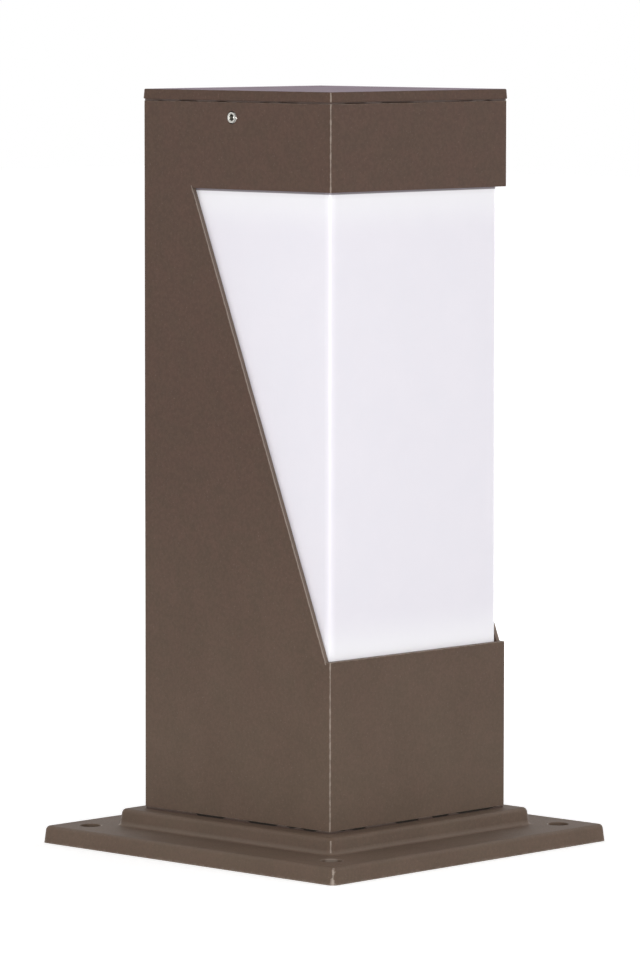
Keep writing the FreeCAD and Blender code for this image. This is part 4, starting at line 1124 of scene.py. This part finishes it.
# ---- camera, light and floor ------------------------------------------------------------------------
def camera():
    """Long lens a little above the light's top, looking slightly down."""
    azimuth, elevation = CAMERA_AZIMUTH, CAMERA_ELEVATION
    back = Vector(
        (
            math.sin(azimuth) * math.cos(elevation),
            -math.cos(azimuth) * math.cos(elevation),
            math.sin(elevation),
        )
    )
    right = Vector((math.cos(azimuth), math.sin(azimuth), 0.0))
    up = back.cross(right)
    turned_right = right * math.cos(CAMERA_ROLL) + up * math.sin(CAMERA_ROLL)
    turned_up = up * math.cos(CAMERA_ROLL) - right * math.sin(CAMERA_ROLL)
    data = bpy.data.cameras.new("camera")
    data.sensor_width = SENSOR
    data.lens = FOCAL_LENGTH_IN_PICTURE_HEIGHTS * SENSOR
    data.clip_end = 30.0
    placed = bpy.data.objects.new("camera", data)
    place = back * CAMERA_DISTANCE + right * CAMERA_SIDE + up * CAMERA_RISE
    turn = Matrix((turned_right, turned_up, back)).transposed()
    placed.matrix_world = Matrix.Translation(place) @ turn.to_4x4()
    bpy.context.scene.collection.objects.link(placed)
    bpy.context.scene.camera = placed


def soft_light(name, azimuth, height, distance, size, power):
    """Square white soft box that faces the bollard's lower half."""
    data = bpy.data.lights.new(name, "AREA")
    data.shape = "SQUARE"
    data.size = size
    data.energy = power
    placed = bpy.data.objects.new(name, data)
    angle = math.radians(azimuth)
    place = Vector((math.sin(angle) * distance, -math.cos(angle) * distance, height))
    aim = Vector((0.0, 0.0, AIM_HEIGHT)) - place
    turn = aim.to_track_quat("-Z", "Y").to_matrix().to_4x4()
    placed.matrix_world = Matrix.Translation(place) @ turn
    bpy.context.scene.collection.objects.link(placed)


def seen_directly(tree):
    """1 for what the camera, a reflection or glass looks at, 0 for light that falls on a surface."""
    path = add(tree, "ShaderNodeLightPath").outputs
    seen = math_node(tree, "MAXIMUM", path["Is Camera Ray"], path["Is Glossy Ray"])
    return math_node(tree, "MAXIMUM", seen, path["Is Transmission Ray"])


def world():
    """Even white surroundings; plain white where they are seen."""
    made = bpy.data.worlds.new("surroundings")
    made.use_nodes = True
    tree = made.node_tree
    tree.nodes.clear()
    lighting = add(tree, "ShaderNodeBackground", Color=(1.0, 1.0, 1.0), Strength=WORLD_GLOW).outputs[0]
    seen = add(tree, "ShaderNodeBackground", Color=(1.0, 1.0, 1.0), Strength=1.0).outputs[0]
    blend = tree.nodes.new("ShaderNodeMixShader")
    put(tree, blend.inputs[0], seen_directly(tree))
    tree.links.new(lighting, blend.inputs[1])
    tree.links.new(seen, blend.inputs[2])
    end = tree.nodes.new("ShaderNodeOutputWorld")
    tree.links.new(blend.outputs[0], end.inputs[0])
    bpy.context.scene.world = made


def floor():
    """Plain pale floor that keeps a faint shadow; it glows where it is seen, more so farther away."""
    mesh = bpy.data.meshes.new("floor")
    level = -0.05 * MM
    square = ((-1, -1), (1, -1), (1, 1), (-1, 1))
    corners = [(x * FLOOR_REACH, y * FLOOR_REACH, level) for x, y in square]
    mesh.from_pydata(corners, [], [(0, 1, 2, 3)])
    made = bpy.data.objects.new("floor", mesh)
    bpy.context.scene.collection.objects.link(made)
    material, tree, shader = new_material("floor", Base_Color=(0.88, 0.88, 0.88), Roughness=0.9)
    put(tree, shader.inputs["Specular IOR Level"], 0.1)
    put(tree, shader.inputs["Emission Color"], (1.0, 1.0, 1.0))
    length = {"operation": "LENGTH"}
    away = add(tree, "ShaderNodeVectorMath", length, _0=object_place(tree)).outputs["Value"]
    glow = ramp(tree, away, FLOOR_NEAR, FLOOR_FAR, FLOOR_GLOW_NEAR, FLOOR_GLOW_FAR)
    shown = math_node(tree, "MULTIPLY", seen_directly(tree), glow)
    put(tree, shader.inputs["Emission Strength"], shown)
    mesh.materials.append(material)


def stage():
    """Camera, floor, surroundings and soft boxes."""
    camera()
    floor()
    world()
    for soft_box in SOFT_BOXES:
        soft_light(*soft_box)
    bpy.context.scene.view_settings.view_transform = "Standard"


materials = make_materials()
dress_frame_nodes(materials)
joint_beads()
set_screws(materials["stainless_steel"])
lamp_threads(materials["nickel_plate"])
cable_gland(materials["black_nylon"])
column_fixings(materials["stainless_steel"], materials["mill_aluminium"])
cleat_welds(materials["mill_aluminium"])
stage()
